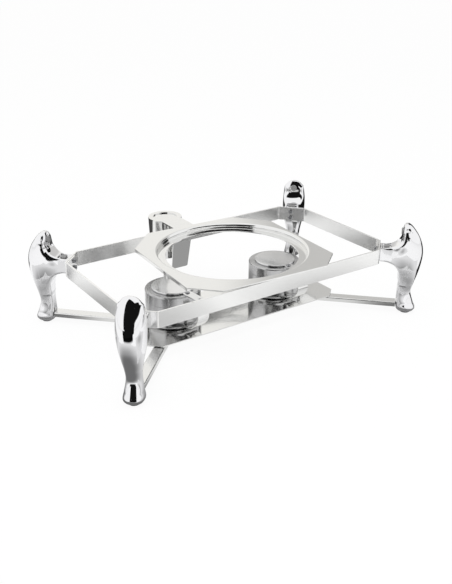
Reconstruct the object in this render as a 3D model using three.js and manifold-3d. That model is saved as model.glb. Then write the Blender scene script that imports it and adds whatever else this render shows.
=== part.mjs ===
// Stand for a chafing dish: four cast legs on a flat strip frame, a loose ring plate on the long bars,
// a polished tray on four diagonal stretchers, two lidded fuel burners on the tray and a rear bracket.
// Millimetres, +Z up, +X along the long bars, +Y from the front bar to the back bar.
import * as THREE from 'three';
import { mergeVertices } from 'three/addons/utils/BufferGeometryUtils.js';
import Module from 'manifold-3d';

const wasm = await Module();
wasm.setup();

// Frame of flat strip on edge
const FRAME_HALF_LENGTH = 250;
const FRAME_HALF_WIDTH = 141;
const FRAME_CHAMFER = 34.5;
const STRIP_THICKNESS = 3;
const STRIP_HEIGHT = 26;
const FRAME_TOP = 121;
const FRAME_UNDER = FRAME_TOP - STRIP_HEIGHT;
const SHORT_TAB_LENGTH = 34;

// Fits
const CLEARANCE = 0.3;
const HOLE_CLEARANCE = 0.2;

// Cast leg, measured outward from the frame's corner on its diagonal
const LEG_HEIGHT = 163;
const FOOT_PAD_THICKNESS = 1.5;
const FOOT_PAD_RADIUS = 9;
const LEG_INNER_FACE = 10;
const HEAD_HEIGHT = LEG_HEIGHT - FRAME_TOP;
// Stations of the leg: height, inner side, outer side, half width, depth of the flat cut on the inner side.
// The head's own stations are set as shares of its height above the frame.
const LEG_STATIONS = [
  [FOOT_PAD_THICKNESS, 17, 38, 11, 1],
  [5.5, 12.6, 42, 14.6, 1.5],
  [10, LEG_INNER_FACE, 43.8, 16.2, 2],
  [20, LEG_INNER_FACE, 39.8, 14.3, 2],
  [38, LEG_INNER_FACE, 34.4, 11.8, 2],
  [55, LEG_INNER_FACE, 37.4, 12.9, 2],
  [72, 9, 42.2, 16.2, 2.5],
  [FRAME_UNDER - 7, 5, 45.8, 19.3, 3.5],
  [FRAME_TOP - STRIP_HEIGHT / 2, 1, 48.2, 21.4, 5],
  [FRAME_TOP + HEAD_HEIGHT / 14, 4, 46.5, 21.4, 6],
  [FRAME_TOP + HEAD_HEIGHT * 17 / 42, 9.8, 41.3, 20.3, 6],
  [FRAME_TOP + HEAD_HEIGHT * 2 / 3, 11, 34.4, 18.2, 5],
  [FRAME_TOP + HEAD_HEIGHT * 6 / 7, 12.6, 28, 14, 3],
  [FRAME_TOP + HEAD_HEIGHT * 27 / 28, 14.6, 22.8, 8.4, 1.5],
  [LEG_HEIGHT, 16, 19.4, 3.2, 0.5],
];
const LEG_SECTION_POWER = 2.3;
const LEG_FACET_BULGE = 2.5;
const LEG_RINGS = 20;
const LEG_RING_POINTS = 18;

// Arm from the frame's corner face to the leg: reach, underside and top from the frame's top, half width
const ARM_STATIONS = [
  [0, -25, -1, 13],
  [10, -26, -0.7, 13.6],
  [20, -29, 2, 14.6],
  [29, -35, 7.5, 15.6],
  [38, -43, 11.5, 14],
  [46, -38, 6, 11],
];
const ARM_SECTION_POWER = 3.6;
const ARM_RINGS = 7;
const ARM_RING_POINTS = 14;
const POCKET_LENGTH = 15;
const POCKET_WIDTH = 20;
const POCKET_DEPTH = 1.8;
const POCKET_CENTRE = 11;
const ARM_PAD_LENGTH = 9;
const ARM_PAD_WIDTH = 13;
const ARM_PAD_HEIGHT = 2.8;
const PLUG_RADIUS = 5.8;
const PLUG_HEIGHT = FRAME_TOP + HEAD_HEIGHT * 2 / 3;
const PLUG_FACE = 10.8;
const PLUG_DEPTH = 4;
const PLUG_PROUD = 1.4;

// Screws that clamp the two strips to each leg
const SCREW_RADIUS = 2.4;
const SCREW_DEPTH = 12;
const SCREW_HEAD_RADIUS = 4.2;
const SCREW_HEAD_HEIGHT = 3;
const SCREW_SOCKET_RADIUS = 2;
const SCREW_SOCKET_DEPTH = 1.6;
const LOWER_SCREW_DROP = 19;
const UPPER_SCREW_DROP = 7;
const SCREW_HEIGHTS = [FRAME_TOP - LOWER_SCREW_DROP, FRAME_TOP - UPPER_SCREW_DROP];

// Loose ring plate, which lies a little turned on the long bars
const SHEET = 2;
const RING_CENTRE_X = 4;
const RING_TURN = -3.2;
const RING_WALL_GAP = 10;
const RING_OVERHANG = 0.5;
const RING_SIDE_MARGIN = 8.5;
const RING_FRONT_CHAMFER = [41, 38];
const RING_BACK_CHAMFER = [52, 58];
const OPENING_SHIFT = 4;
const RING_SIDES = 54;
const OPENING_RADIUS = FRAME_HALF_WIDTH - STRIP_THICKNESS - RING_WALL_GAP - SHEET;
const OPENING_STEP = 9.5;
const LEDGE_WIDTH = 13;
const LEDGE_RADIUS = OPENING_RADIUS - LEDGE_WIDTH;
const RING_HALF_LENGTH = OPENING_RADIUS + OPENING_SHIFT + RING_SIDE_MARGIN;
const RING_HALF_WIDTH = FRAME_HALF_WIDTH + RING_OVERHANG;
const RING_LIP = 4;
const RING_TAB_WIDTH = 9;
const RING_TAB_DEPTH = 10;
const RING_TAB_Y = -30;

// Tray and its diagonal stretchers
const TRAY_HALF_LENGTH = 192;
const TRAY_HALF_WIDTH = 71;
const TRAY_CHAMFER = 20;
const TRAY_TOP = 20.6;
const TRAY_THICKNESS = 2;
const STRETCHER_WIDTH = 19;
const STRETCHER_DEPTH = 8;
const STRETCHER_WALL = 1.5;
const STRETCHER_LAP = 22;
const STRETCHER_SCREW_RADIUS = 1.5;
const STRETCHER_SCREW_HEAD = 2.6;
const STRETCHER_SCREW_HEAD_HEIGHT = 2;
const STRETCHER_SCREW_DEPTH = 8;

// Burners
const BURNER_Y = 3;
const LEFT_BURNER_X = -108;
const RIGHT_BURNER_X = 102;
const BURNERS = [
  { side: 'left', x: LEFT_BURNER_X, turn: 7 },
  { side: 'right', x: RIGHT_BURNER_X, turn: 1 },
];
const BURNER_SIDES = 32;
const CUP_RADIUS = 46.2;
const CUP_WALL = 1.5;
const CUP_BEND = 9;
const CUP_HEIGHT = 41.4;
const CUP_SEAM = TRAY_TOP + CUP_HEIGHT;
const NECK_HEIGHT = 9;
const COLLAR_HEIGHT = 18.2;
const BURNER_TOP = CUP_SEAM + COLLAR_HEIGHT;
const COLLAR_SHEET = 1.6;
const COLLAR_BEND = 2.4;
const FLAME_OPENING = 30;
const CAN_GAP = 3.1;
const CAN_RADIUS = CUP_RADIUS - CUP_WALL - CAN_GAP;
const CAN_HEIGHT = 46;
const CAN_RIM = 2;
const CAN_RIM_DEPTH = 2.5;
const CAN_MOUTH = 19;
const CAN_MOUTH_DEPTH = 8;
const GEL_DEPTH = 5;
const LID_LAP = 5.5;
const LID_RADIUS = FLAME_OPENING + LID_LAP;
const LID_THICKNESS = 3;
const LID_BEND = 1;
const LID_ARM_WIDTH = 15;
const LID_ARM_REACH = 75;
const LID_ARM_OVERLAP = 12;
const LID_ARM_CORNER = 3;
const LID_SLOT_WIDTH = 4.5;
const LID_SLOT_LENGTH = 5;
const LID_SLOT_FROM_END = 6;
const LID_SLOT_REACH = LID_ARM_REACH - LID_SLOT_FROM_END;
const PIVOT_RADIUS = 2;
const PIVOT_HEAD_RADIUS = 3.7;
const PIVOT_REACH = LID_RADIUS + PIVOT_HEAD_RADIUS + HOLE_CLEARANCE;
const PIVOT_HEAD_HEIGHT = 1.6;
const HANDLE_WIDTH = 22;
const HANDLE_SHEET = 1.8;
// Middle line of the handle strip: reach in front of the cup's wall, height above the tray
const HANDLE_PATH = [
  [-4.2, 36.5],
  [7.8, 38.5],
  [20.8, 40.6],
  [30.3, 39],
  [33.2, 32],
  [28.8, 22.5],
  [18.8, 12.5],
  [7.8, 7.6],
  [-4.2, 7.2],
];

// Rear bracket, riveted to the outside of the back bar
const BRACKET_X = 0.5;
const NECK_HALF_WIDTH = 20.5;
const SHELF_REACH = 106;
const SHELF_RADIUS = 31.5;
const RECESS_RADIUS = 22.6;
const RECESS_DEPTH = 2;
const TAB_DROP = 22;
const STRUT_FROM_BAR = 5.8;
const STRUT_LENGTH = 86.9;
const STRUT_TILT = 11.5;
const STRUT_LOW_HALF = 16.9;
const REAR_CUP_HEIGHT = 74;
const REAR_CUP_LOW_RADIUS = 28.5;
const REAR_CUP_WALL = 1.5;
const RIVET_RADIUS = 2;
const RIVET_HEAD_RADIUS = 3.8;
const RIVET_HEAD_HEIGHT = 1.5;
const RIVET_SPACING = 28;
const RIVET_HEIGHT = FRAME_TOP - STRIP_HEIGHT / 2;

const FINISHES = {
  castChrome: { color: 0xd8d8da, metalness: 1, roughness: 0.08 },
  polishedSteel: { color: 0xcfd0d2, metalness: 1, roughness: 0.12 },
  brushedSteel: { color: 0xb9babc, metalness: 1, roughness: 0.32 },
  screwSteel: { color: 0xa9aaad, metalness: 1, roughness: 0.25 },
  greyRubber: { color: 0x8a8a8a, metalness: 0, roughness: 0.75 },
  blackRubber: { color: 0x202022, metalness: 0, roughness: 0.85 },
  tinplate: { color: 0xc2c3c0, metalness: 1, roughness: 0.28 },
  fuelGel: { color: 0x8fb4c9, metalness: 0, roughness: 0.35 },
};

const group = new THREE.Group();
group.name = 'chafing_dish_stand';

function toSolid(geometry) {
  const clean = geometry.clone();
  clean.deleteAttribute('normal');
  clean.deleteAttribute('uv');
  const merged = mergeVertices(clean, 1e-4);
  const source = merged.index.array;
  const kept = [];
  for (let i = 0; i < source.length; i += 3) {
    const [a, b, c] = [source[i], source[i + 1], source[i + 2]];
    if (a !== b && b !== c && c !== a) {
      kept.push(a, b, c);
    }
  }
  return new wasm.Manifold(new wasm.Mesh({
    numProp: 3,
    vertProperties: new Float32Array(merged.attributes.position.array),
    triVerts: new Uint32Array(kept),
  }));
}

function toGeometry(solid) {
  const mesh = solid.getMesh();
  const geometry = new THREE.BufferGeometry();
  geometry.setAttribute('position', new THREE.BufferAttribute(new Float32Array(mesh.vertProperties), 3));
  geometry.setIndex(new THREE.BufferAttribute(new Uint32Array(mesh.triVerts), 1));
  geometry.computeVertexNormals();
  return geometry;
}

function add(name, shape, finish) {
  const geometry = shape.isBufferGeometry ? toGeometry(toSolid(shape)) : toGeometry(shape);
  const mesh = new THREE.Mesh(geometry, new THREE.MeshStandardMaterial(FINISHES[finish]));
  mesh.name = name;
  group.add(mesh);
  return mesh;
}

function block(x0, x1, y0, y1, z0, z1) {
  const geometry = new THREE.BoxGeometry(x1 - x0, y1 - y0, z1 - z0);
  return geometry.translate((x0 + x1) / 2, (y0 + y1) / 2, (z0 + z1) / 2);
}

function prism(outline, z0, z1) {
  const shape = new THREE.Shape(outline.map(([x, y]) => new THREE.Vector2(x, y)));
  const geometry = new THREE.ExtrudeGeometry(shape, { depth: z1 - z0, bevelEnabled: false });
  return geometry.translate(0, 0, z0);
}

// Turns a profile of radius and height about the upright axis
function revolve(profile, segments) {
  const points = profile.map(([r, z]) => new THREE.Vector2(r, z));
  return new THREE.LatheGeometry(points, segments).rotateX(Math.PI / 2);
}

function cylinderX(radius, x0, x1, y, z, segments = 12) {
  const geometry = new THREE.CylinderGeometry(radius, radius, x1 - x0, segments).rotateZ(Math.PI / 2);
  return geometry.translate((x0 + x1) / 2, y, z);
}

function cylinderZ(radius, z0, z1, x = 0, y = 0, segments = 24) {
  const geometry = new THREE.CylinderGeometry(radius, radius, z1 - z0, segments).rotateX(Math.PI / 2);
  return geometry.translate(x, y, (z0 + z1) / 2);
}

// Quarter bend of a profile from one angle to another, in degrees
function bend(centreR, centreZ, radius, from, to, steps) {
  const points = [];
  for (let i = 0; i <= steps; i += 1) {
    const angle = THREE.MathUtils.degToRad(from + (to - from) * i / steps);
    points.push([centreR + radius * Math.cos(angle), centreZ + radius * Math.sin(angle)]);
  }
  return points;
}

// Closed skin over rings of equal point counts, with a fan on each end
function loft(rings) {
  const count = rings[0].length;
  const positions = rings.flat().flatMap((p) => [p.x, p.y, p.z]);
  const middle = (ring) => ring.reduce((sum, p) => sum.add(p), new THREE.Vector3()).divideScalar(count);
  const first = middle(rings[0]);
  const last = middle(rings[rings.length - 1]);
  positions.push(first.x, first.y, first.z, last.x, last.y, last.z);
  const firstIndex = rings.length * count;
  const index = [];
  for (let r = 0; r < rings.length - 1; r += 1) {
    for (let i = 0; i < count; i += 1) {
      const a = r * count + i;
      const b = r * count + (i + 1) % count;
      index.push(a, b, b + count, a, b + count, a + count);
    }
  }
  for (let i = 0; i < count; i += 1) {
    const next = (i + 1) % count;
    const top = (rings.length - 1) * count;
    index.push(firstIndex, next, i, firstIndex + 1, top + i, top + next);
  }
  const geometry = new THREE.BufferGeometry();
  geometry.setAttribute('position', new THREE.Float32BufferAttribute(positions, 3));
  geometry.setIndex(index);
  return geometry;
}

function smoothCurve(points) {
  return new THREE.CatmullRomCurve3(points.map((p) => new THREE.Vector3(...p)), false, 'catmullrom');
}

function stationCurves(stations) {
  const sizes = smoothCurve(stations.map((s) => [s[0], s[1], s[2]]));
  const widths = smoothCurve(stations.map((s) => [s[0], s[3], s[4] ?? 0]));
  return { sizes, widths };
}

function power(value, exponent) {
  return Math.sign(value) * Math.abs(value) ** exponent;
}

function legColumn() {
  const { sizes, widths } = stationCurves(LEG_STATIONS);
  const rings = [];
  for (let r = 0; r <= LEG_RINGS; r += 1) {
    const { x: height, y: inner, z: outer } = sizes.getPoint(r / LEG_RINGS);
    const { y: halfWidth, z: cut } = widths.getPoint(r / LEG_RINGS);
    const bulge = height > FRAME_UNDER ? LEG_FACET_BULGE * Math.min(1, halfWidth / 20) : 0;
    const middle = (inner - cut + outer) / 2;
    const halfDepth = (outer - inner + cut) / 2;
    const ring = [];
    for (let i = 0; i < LEG_RING_POINTS; i += 1) {
      const angle = 2 * Math.PI * i / LEG_RING_POINTS;
      const across = halfWidth * power(Math.sin(angle), 2 / LEG_SECTION_POWER);
      const along = middle + halfDepth * power(Math.cos(angle), 2 / LEG_SECTION_POWER);
      const facet = inner + bulge * (across / halfWidth) ** 2;
      ring.push(new THREE.Vector3(Math.max(along, facet), across, height));
    }
    rings.push(ring);
  }
  return toSolid(loft(rings));
}

// The arm's own stations start at the frame's corner face and run outward
const CORNER_FACE = -FRAME_CHAMFER / Math.SQRT2;
const ARM_START = CORNER_FACE + CLEARANCE;

function legArm() {
  const { sizes, widths } = stationCurves(ARM_STATIONS);
  const rings = [];
  for (let r = 0; r <= ARM_RINGS; r += 1) {
    const { x: reach, y: bottom, z: top } = sizes.getPoint(r / ARM_RINGS);
    const { y: halfWidth } = widths.getPoint(r / ARM_RINGS);
    const ring = [];
    for (let i = 0; i < ARM_RING_POINTS; i += 1) {
      const angle = 2 * Math.PI * (i + 0.5) / ARM_RING_POINTS;
      const across = halfWidth * power(Math.cos(angle), 2 / ARM_SECTION_POWER);
      const height = (top + bottom) / 2 + (top - bottom) / 2 * power(Math.sin(angle), 2 / ARM_SECTION_POWER);
      ring.push(new THREE.Vector3(ARM_START + reach, across, FRAME_TOP + height));
    }
    rings.push(ring);
  }
  return toSolid(loft(rings));
}

function armTopAt(reach) {
  const before = ARM_STATIONS.filter((s) => s[0] <= reach).pop();
  const after = ARM_STATIONS.find((s) => s[0] > reach);
  return FRAME_TOP + before[2] + (after[2] - before[2]) * (reach - before[0]) / (after[0] - before[0]);
}

const PAD_X = ARM_START + POCKET_CENTRE;
const POCKET_FLOOR = armTopAt(POCKET_CENTRE) - POCKET_DEPTH;
const STRETCHER_TOP = TRAY_TOP - TRAY_THICKNESS;
const STRETCHER_SCREW_Z = STRETCHER_TOP - STRETCHER_DEPTH * 0.6;

// A cap screw along the local X axis, with its head on the inner side
function capScrew(radius, headRadius, headHeight, socketRadius, socketDepth, headSide, tip, z) {
  const head = toSolid(cylinderX(headRadius, headSide - headHeight, headSide, 0, z, 14));
  const shank = toSolid(cylinderX(radius, headSide - headHeight / 2, tip, 0, z, 10));
  const face = headSide - headHeight;
  const socket = toSolid(cylinderX(socketRadius, face - 1, face + socketDepth, 0, z, 6));
  return head.add(shank).subtract(socket);
}

function makeLeg() {
  let leg = legColumn().add(legArm());
  const [halfLength, halfWidth] = [POCKET_LENGTH / 2, POCKET_WIDTH / 2];
  leg = leg.subtract(toSolid(block(
    PAD_X - halfLength, PAD_X + halfLength, -halfWidth, halfWidth, POCKET_FLOOR, LEG_HEIGHT,
  )));
  for (const z of SCREW_HEIGHTS) {
    const radius = SCREW_RADIUS + HOLE_CLEARANCE;
    leg = leg.subtract(toSolid(cylinderX(radius, CORNER_FACE - 1, CORNER_FACE + SCREW_DEPTH + 1, 0, z)));
  }
  const plugHole = PLUG_RADIUS + HOLE_CLEARANCE;
  const plugEnd = PLUG_FACE + PLUG_DEPTH;
  leg = leg.subtract(toSolid(cylinderX(plugHole, PLUG_FACE - 6, plugEnd + CLEARANCE, 0, PLUG_HEIGHT, 14)));
  const footHole = STRETCHER_SCREW_RADIUS + HOLE_CLEARANCE;
  leg = leg.subtract(toSolid(cylinderX(
    footHole, LEG_INNER_FACE - 4, LEG_INNER_FACE + STRETCHER_SCREW_DEPTH + 1, 0, STRETCHER_SCREW_Z,
  )));
  return leg;
}

function makeStretcher() {
  const end = LEG_INNER_FACE - CLEARANCE;
  const half = STRETCHER_WIDTH / 2;
  const bottom = STRETCHER_TOP - STRETCHER_DEPTH;
  const outer = toSolid(block(STRETCHER_INNER_END, end, -half, half, bottom, STRETCHER_TOP));
  const hollow = toSolid(block(
    STRETCHER_INNER_END - 1, end - STRETCHER_WALL, -half + STRETCHER_WALL, half - STRETCHER_WALL,
    bottom - 1, STRETCHER_TOP - STRETCHER_WALL,
  ));
  const hole = toSolid(cylinderX(
    STRETCHER_SCREW_RADIUS + HOLE_CLEARANCE, end - STRETCHER_WALL - 1, end + 1, 0, STRETCHER_SCREW_Z,
  ));
  return outer.subtract(hollow).subtract(hole);
}

// Distance from the frame's corner to the tray's cut corner, along the diagonal
const TRAY_CORNER_REACH = (
  (FRAME_HALF_LENGTH - TRAY_HALF_LENGTH) + (FRAME_HALF_WIDTH - TRAY_HALF_WIDTH) + TRAY_CHAMFER
) / Math.SQRT2;
const STRETCHER_INNER_END = -TRAY_CORNER_REACH - STRETCHER_LAP;

const CORNERS = [
  { name: 'front', x: -1, y: -1 },
  { name: 'right', x: 1, y: -1 },
  { name: 'back', x: 1, y: 1 },
  { name: 'left', x: -1, y: 1 },
];

function atCorner(shape, corner) {
  const solid = shape.isBufferGeometry ? toSolid(shape) : shape;
  const degrees = THREE.MathUtils.radToDeg(Math.atan2(corner.y, corner.x));
  return solid.rotate([0, 0, degrees]).translate([
    corner.x * FRAME_HALF_LENGTH, corner.y * FRAME_HALF_WIDTH, 0,
  ]);
}

function cornerHoles(solid, corners) {
  let drilled = solid;
  const radius = SCREW_RADIUS + HOLE_CLEARANCE;
  for (const corner of corners) {
    for (const z of SCREW_HEIGHTS) {
      const hole = cylinderX(radius, CORNER_FACE - 4 * STRIP_THICKNESS, ARM_START, 0, z);
      drilled = drilled.subtract(atCorner(hole, corner));
    }
  }
  return drilled;
}

function makeLegs() {
  const leg = makeLeg();
  const stretcher = makeStretcher();
  const footMiddle = (LEG_STATIONS[0][1] + LEG_STATIONS[0][2]) / 2;
  const innerFace = CORNER_FACE - 2 * STRIP_THICKNESS - CLEARANCE;
  for (const corner of CORNERS) {
    add(`leg_${corner.name}`, atCorner(leg, corner), 'castChrome');
    const footPad = cylinderZ(FOOT_PAD_RADIUS, 0, FOOT_PAD_THICKNESS, footMiddle);
    add(`foot_pad_${corner.name}`, atCorner(footPad, corner), 'blackRubber');
    add(`arm_pad_${corner.name}`, atCorner(block(
      PAD_X - ARM_PAD_LENGTH / 2, PAD_X + ARM_PAD_LENGTH / 2, -ARM_PAD_WIDTH / 2, ARM_PAD_WIDTH / 2,
      POCKET_FLOOR, POCKET_FLOOR + ARM_PAD_HEIGHT,
    ), corner), 'greyRubber');
    add(`head_plug_${corner.name}`, atCorner(
      cylinderX(PLUG_RADIUS, PLUG_FACE - PLUG_PROUD, PLUG_FACE + PLUG_DEPTH, 0, PLUG_HEIGHT, 14), corner,
    ), 'greyRubber');
    for (const [i, z] of SCREW_HEIGHTS.entries()) {
      const screw = capScrew(
        SCREW_RADIUS, SCREW_HEAD_RADIUS, SCREW_HEAD_HEIGHT, SCREW_SOCKET_RADIUS, SCREW_SOCKET_DEPTH,
        innerFace, CORNER_FACE + SCREW_DEPTH, z,
      );
      add(`corner_screw_${corner.name}_${i ? 'upper' : 'lower'}`, atCorner(screw, corner), 'screwSteel');
    }
    add(`stretcher_${corner.name}`, atCorner(stretcher, corner), 'polishedSteel');
    const wallInside = LEG_INNER_FACE - CLEARANCE - STRETCHER_WALL;
    const footScrew = capScrew(
      STRETCHER_SCREW_RADIUS, STRETCHER_SCREW_HEAD, STRETCHER_SCREW_HEAD_HEIGHT, 1, 1,
      wallInside, LEG_INNER_FACE + STRETCHER_SCREW_DEPTH, STRETCHER_SCREW_Z,
    );
    add(`foot_screw_${corner.name}`, atCorner(footScrew, corner), 'screwSteel');
  }
}

// Outline of a strip on edge: the outer line and its copy set inward by the thickness
function stripOutline(points, thickness) {
  const line = points.map(([x, y]) => new THREE.Vector2(x, y));
  const inner = line.map((point, i) => {
    const before = line[Math.max(i - 1, 0)];
    const after = line[Math.min(i + 1, line.length - 1)];
    const first = i > 0 ? point.clone().sub(before).normalize() : after.clone().sub(point).normalize();
    const second = i < line.length - 1 ? after.clone().sub(point).normalize() : first.clone();
    const normal = first.clone().add(second).normalize();
    const side = new THREE.Vector2(-normal.y, normal.x);
    return point.clone().add(side.multiplyScalar(thickness / normal.dot(first)));
  });
  return [...line, ...inner.reverse()].map((p) => [p.x, p.y]);
}

function rivetHole(x) {
  const radius = RIVET_RADIUS + HOLE_CLEARANCE;
  const hole = new THREE.CylinderGeometry(radius, radius, 3 * (STRIP_THICKNESS + SHEET), 12);
  return toSolid(hole.translate(x, FRAME_HALF_WIDTH, RIVET_HEIGHT));
}

function makeBars() {
  const [a, b, c] = [FRAME_HALF_LENGTH, FRAME_HALF_WIDTH, FRAME_CHAMFER];
  const front = [[-a, -b + c], [-a + c, -b], [a - c, -b], [a, -b + c]];
  // The short bars' bent ends lie inside the long bars' bent ends
  const bendY = b - c - (STRIP_THICKNESS + CLEARANCE) * Math.SQRT2;
  const reach = SHORT_TAB_LENGTH / Math.SQRT2;
  const right = [[a - reach, -bendY - reach], [a, -bendY], [a, bendY], [a - reach, bendY + reach]];
  const longBar = toSolid(prism(stripOutline(front, STRIP_THICKNESS), FRAME_UNDER, FRAME_TOP));
  const shortBar = toSolid(prism(stripOutline(right, STRIP_THICKNESS), FRAME_UNDER, FRAME_TOP));
  const frontBar = cornerHoles(longBar, CORNERS);
  let backBar = cornerHoles(longBar.rotate([0, 0, 180]), CORNERS);
  for (const side of [-1, 1]) {
    const x = BRACKET_X + side * RIVET_SPACING / 2;
    backBar = backBar.subtract(rivetHole(x));
  }
  add('long_bar_front', frontBar, 'polishedSteel');
  add('long_bar_back', backBar, 'polishedSteel');
  add('short_bar_right', cornerHoles(shortBar, CORNERS), 'polishedSteel');
  add('short_bar_left', cornerHoles(shortBar.rotate([0, 0, 180]), CORNERS), 'polishedSteel');
}

// The pressed plate in three simple bodies that meet face to face: flat sheet, round wall and ledge
function makeRingPlate() {
  const [l, w] = [RING_HALF_LENGTH, RING_HALF_WIDTH];
  const [fx, fy] = RING_FRONT_CHAMFER;
  const [bx, by] = RING_BACK_CHAMFER;
  const outline = [
    [-l + fx, -w], [l - fx, -w], [l, -w + fy], [l, w - by],
    [l - bx, w], [-l + bx, w], [-l, w - by], [-l, -w + fy],
  ];
  const top = FRAME_TOP + SHEET;
  const ledgeTop = top - OPENING_STEP;
  const disc = (radius, z0, z1) => toSolid(cylinderZ(radius, z0, z1, OPENING_SHIFT, 0, RING_SIDES));
  const place = (solid) => solid.rotate([0, 0, RING_TURN]).translate([RING_CENTRE_X, 0, 0]);
  let sheet = toSolid(prism(outline, FRAME_TOP, top));
  for (const side of [-1, 1]) {
    const x0 = side > 0 ? l - SHEET : -l;
    const x1 = x0 + SHEET;
    sheet = sheet.add(toSolid(block(x0, x1, -w + fy, w - by, FRAME_TOP - RING_LIP, top)));
    const y0 = RING_TAB_Y - RING_TAB_WIDTH / 2;
    sheet = sheet.add(toSolid(block(x0, x1, y0, y0 + RING_TAB_WIDTH, FRAME_TOP - RING_TAB_DEPTH, top)));
  }
  sheet = sheet.subtract(disc(OPENING_RADIUS, FRAME_TOP - 1, top + 1));
  const wall = disc(OPENING_RADIUS + SHEET, ledgeTop - SHEET, FRAME_TOP)
    .subtract(disc(OPENING_RADIUS, ledgeTop - SHEET - 1, FRAME_TOP + 1));
  const ledge = disc(OPENING_RADIUS, ledgeTop - SHEET, ledgeTop)
    .subtract(disc(LEDGE_RADIUS, ledgeTop - SHEET - 1, ledgeTop + 1));
  add('ring_plate', place(sheet), 'polishedSteel');
  add('ring_wall', place(wall), 'polishedSteel');
  add('ring_ledge', place(ledge), 'polishedSteel');
}

function makeTray() {
  const [l, w, c] = [TRAY_HALF_LENGTH, TRAY_HALF_WIDTH, TRAY_CHAMFER];
  const outline = [
    [-l + c, -w], [l - c, -w], [l, -w + c], [l, w - c],
    [l - c, w], [-l + c, w], [-l, w - c], [-l, -w + c],
  ];
  add('tray', prism(outline, TRAY_TOP - TRAY_THICKNESS, TRAY_TOP), 'polishedSteel');
}

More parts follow.
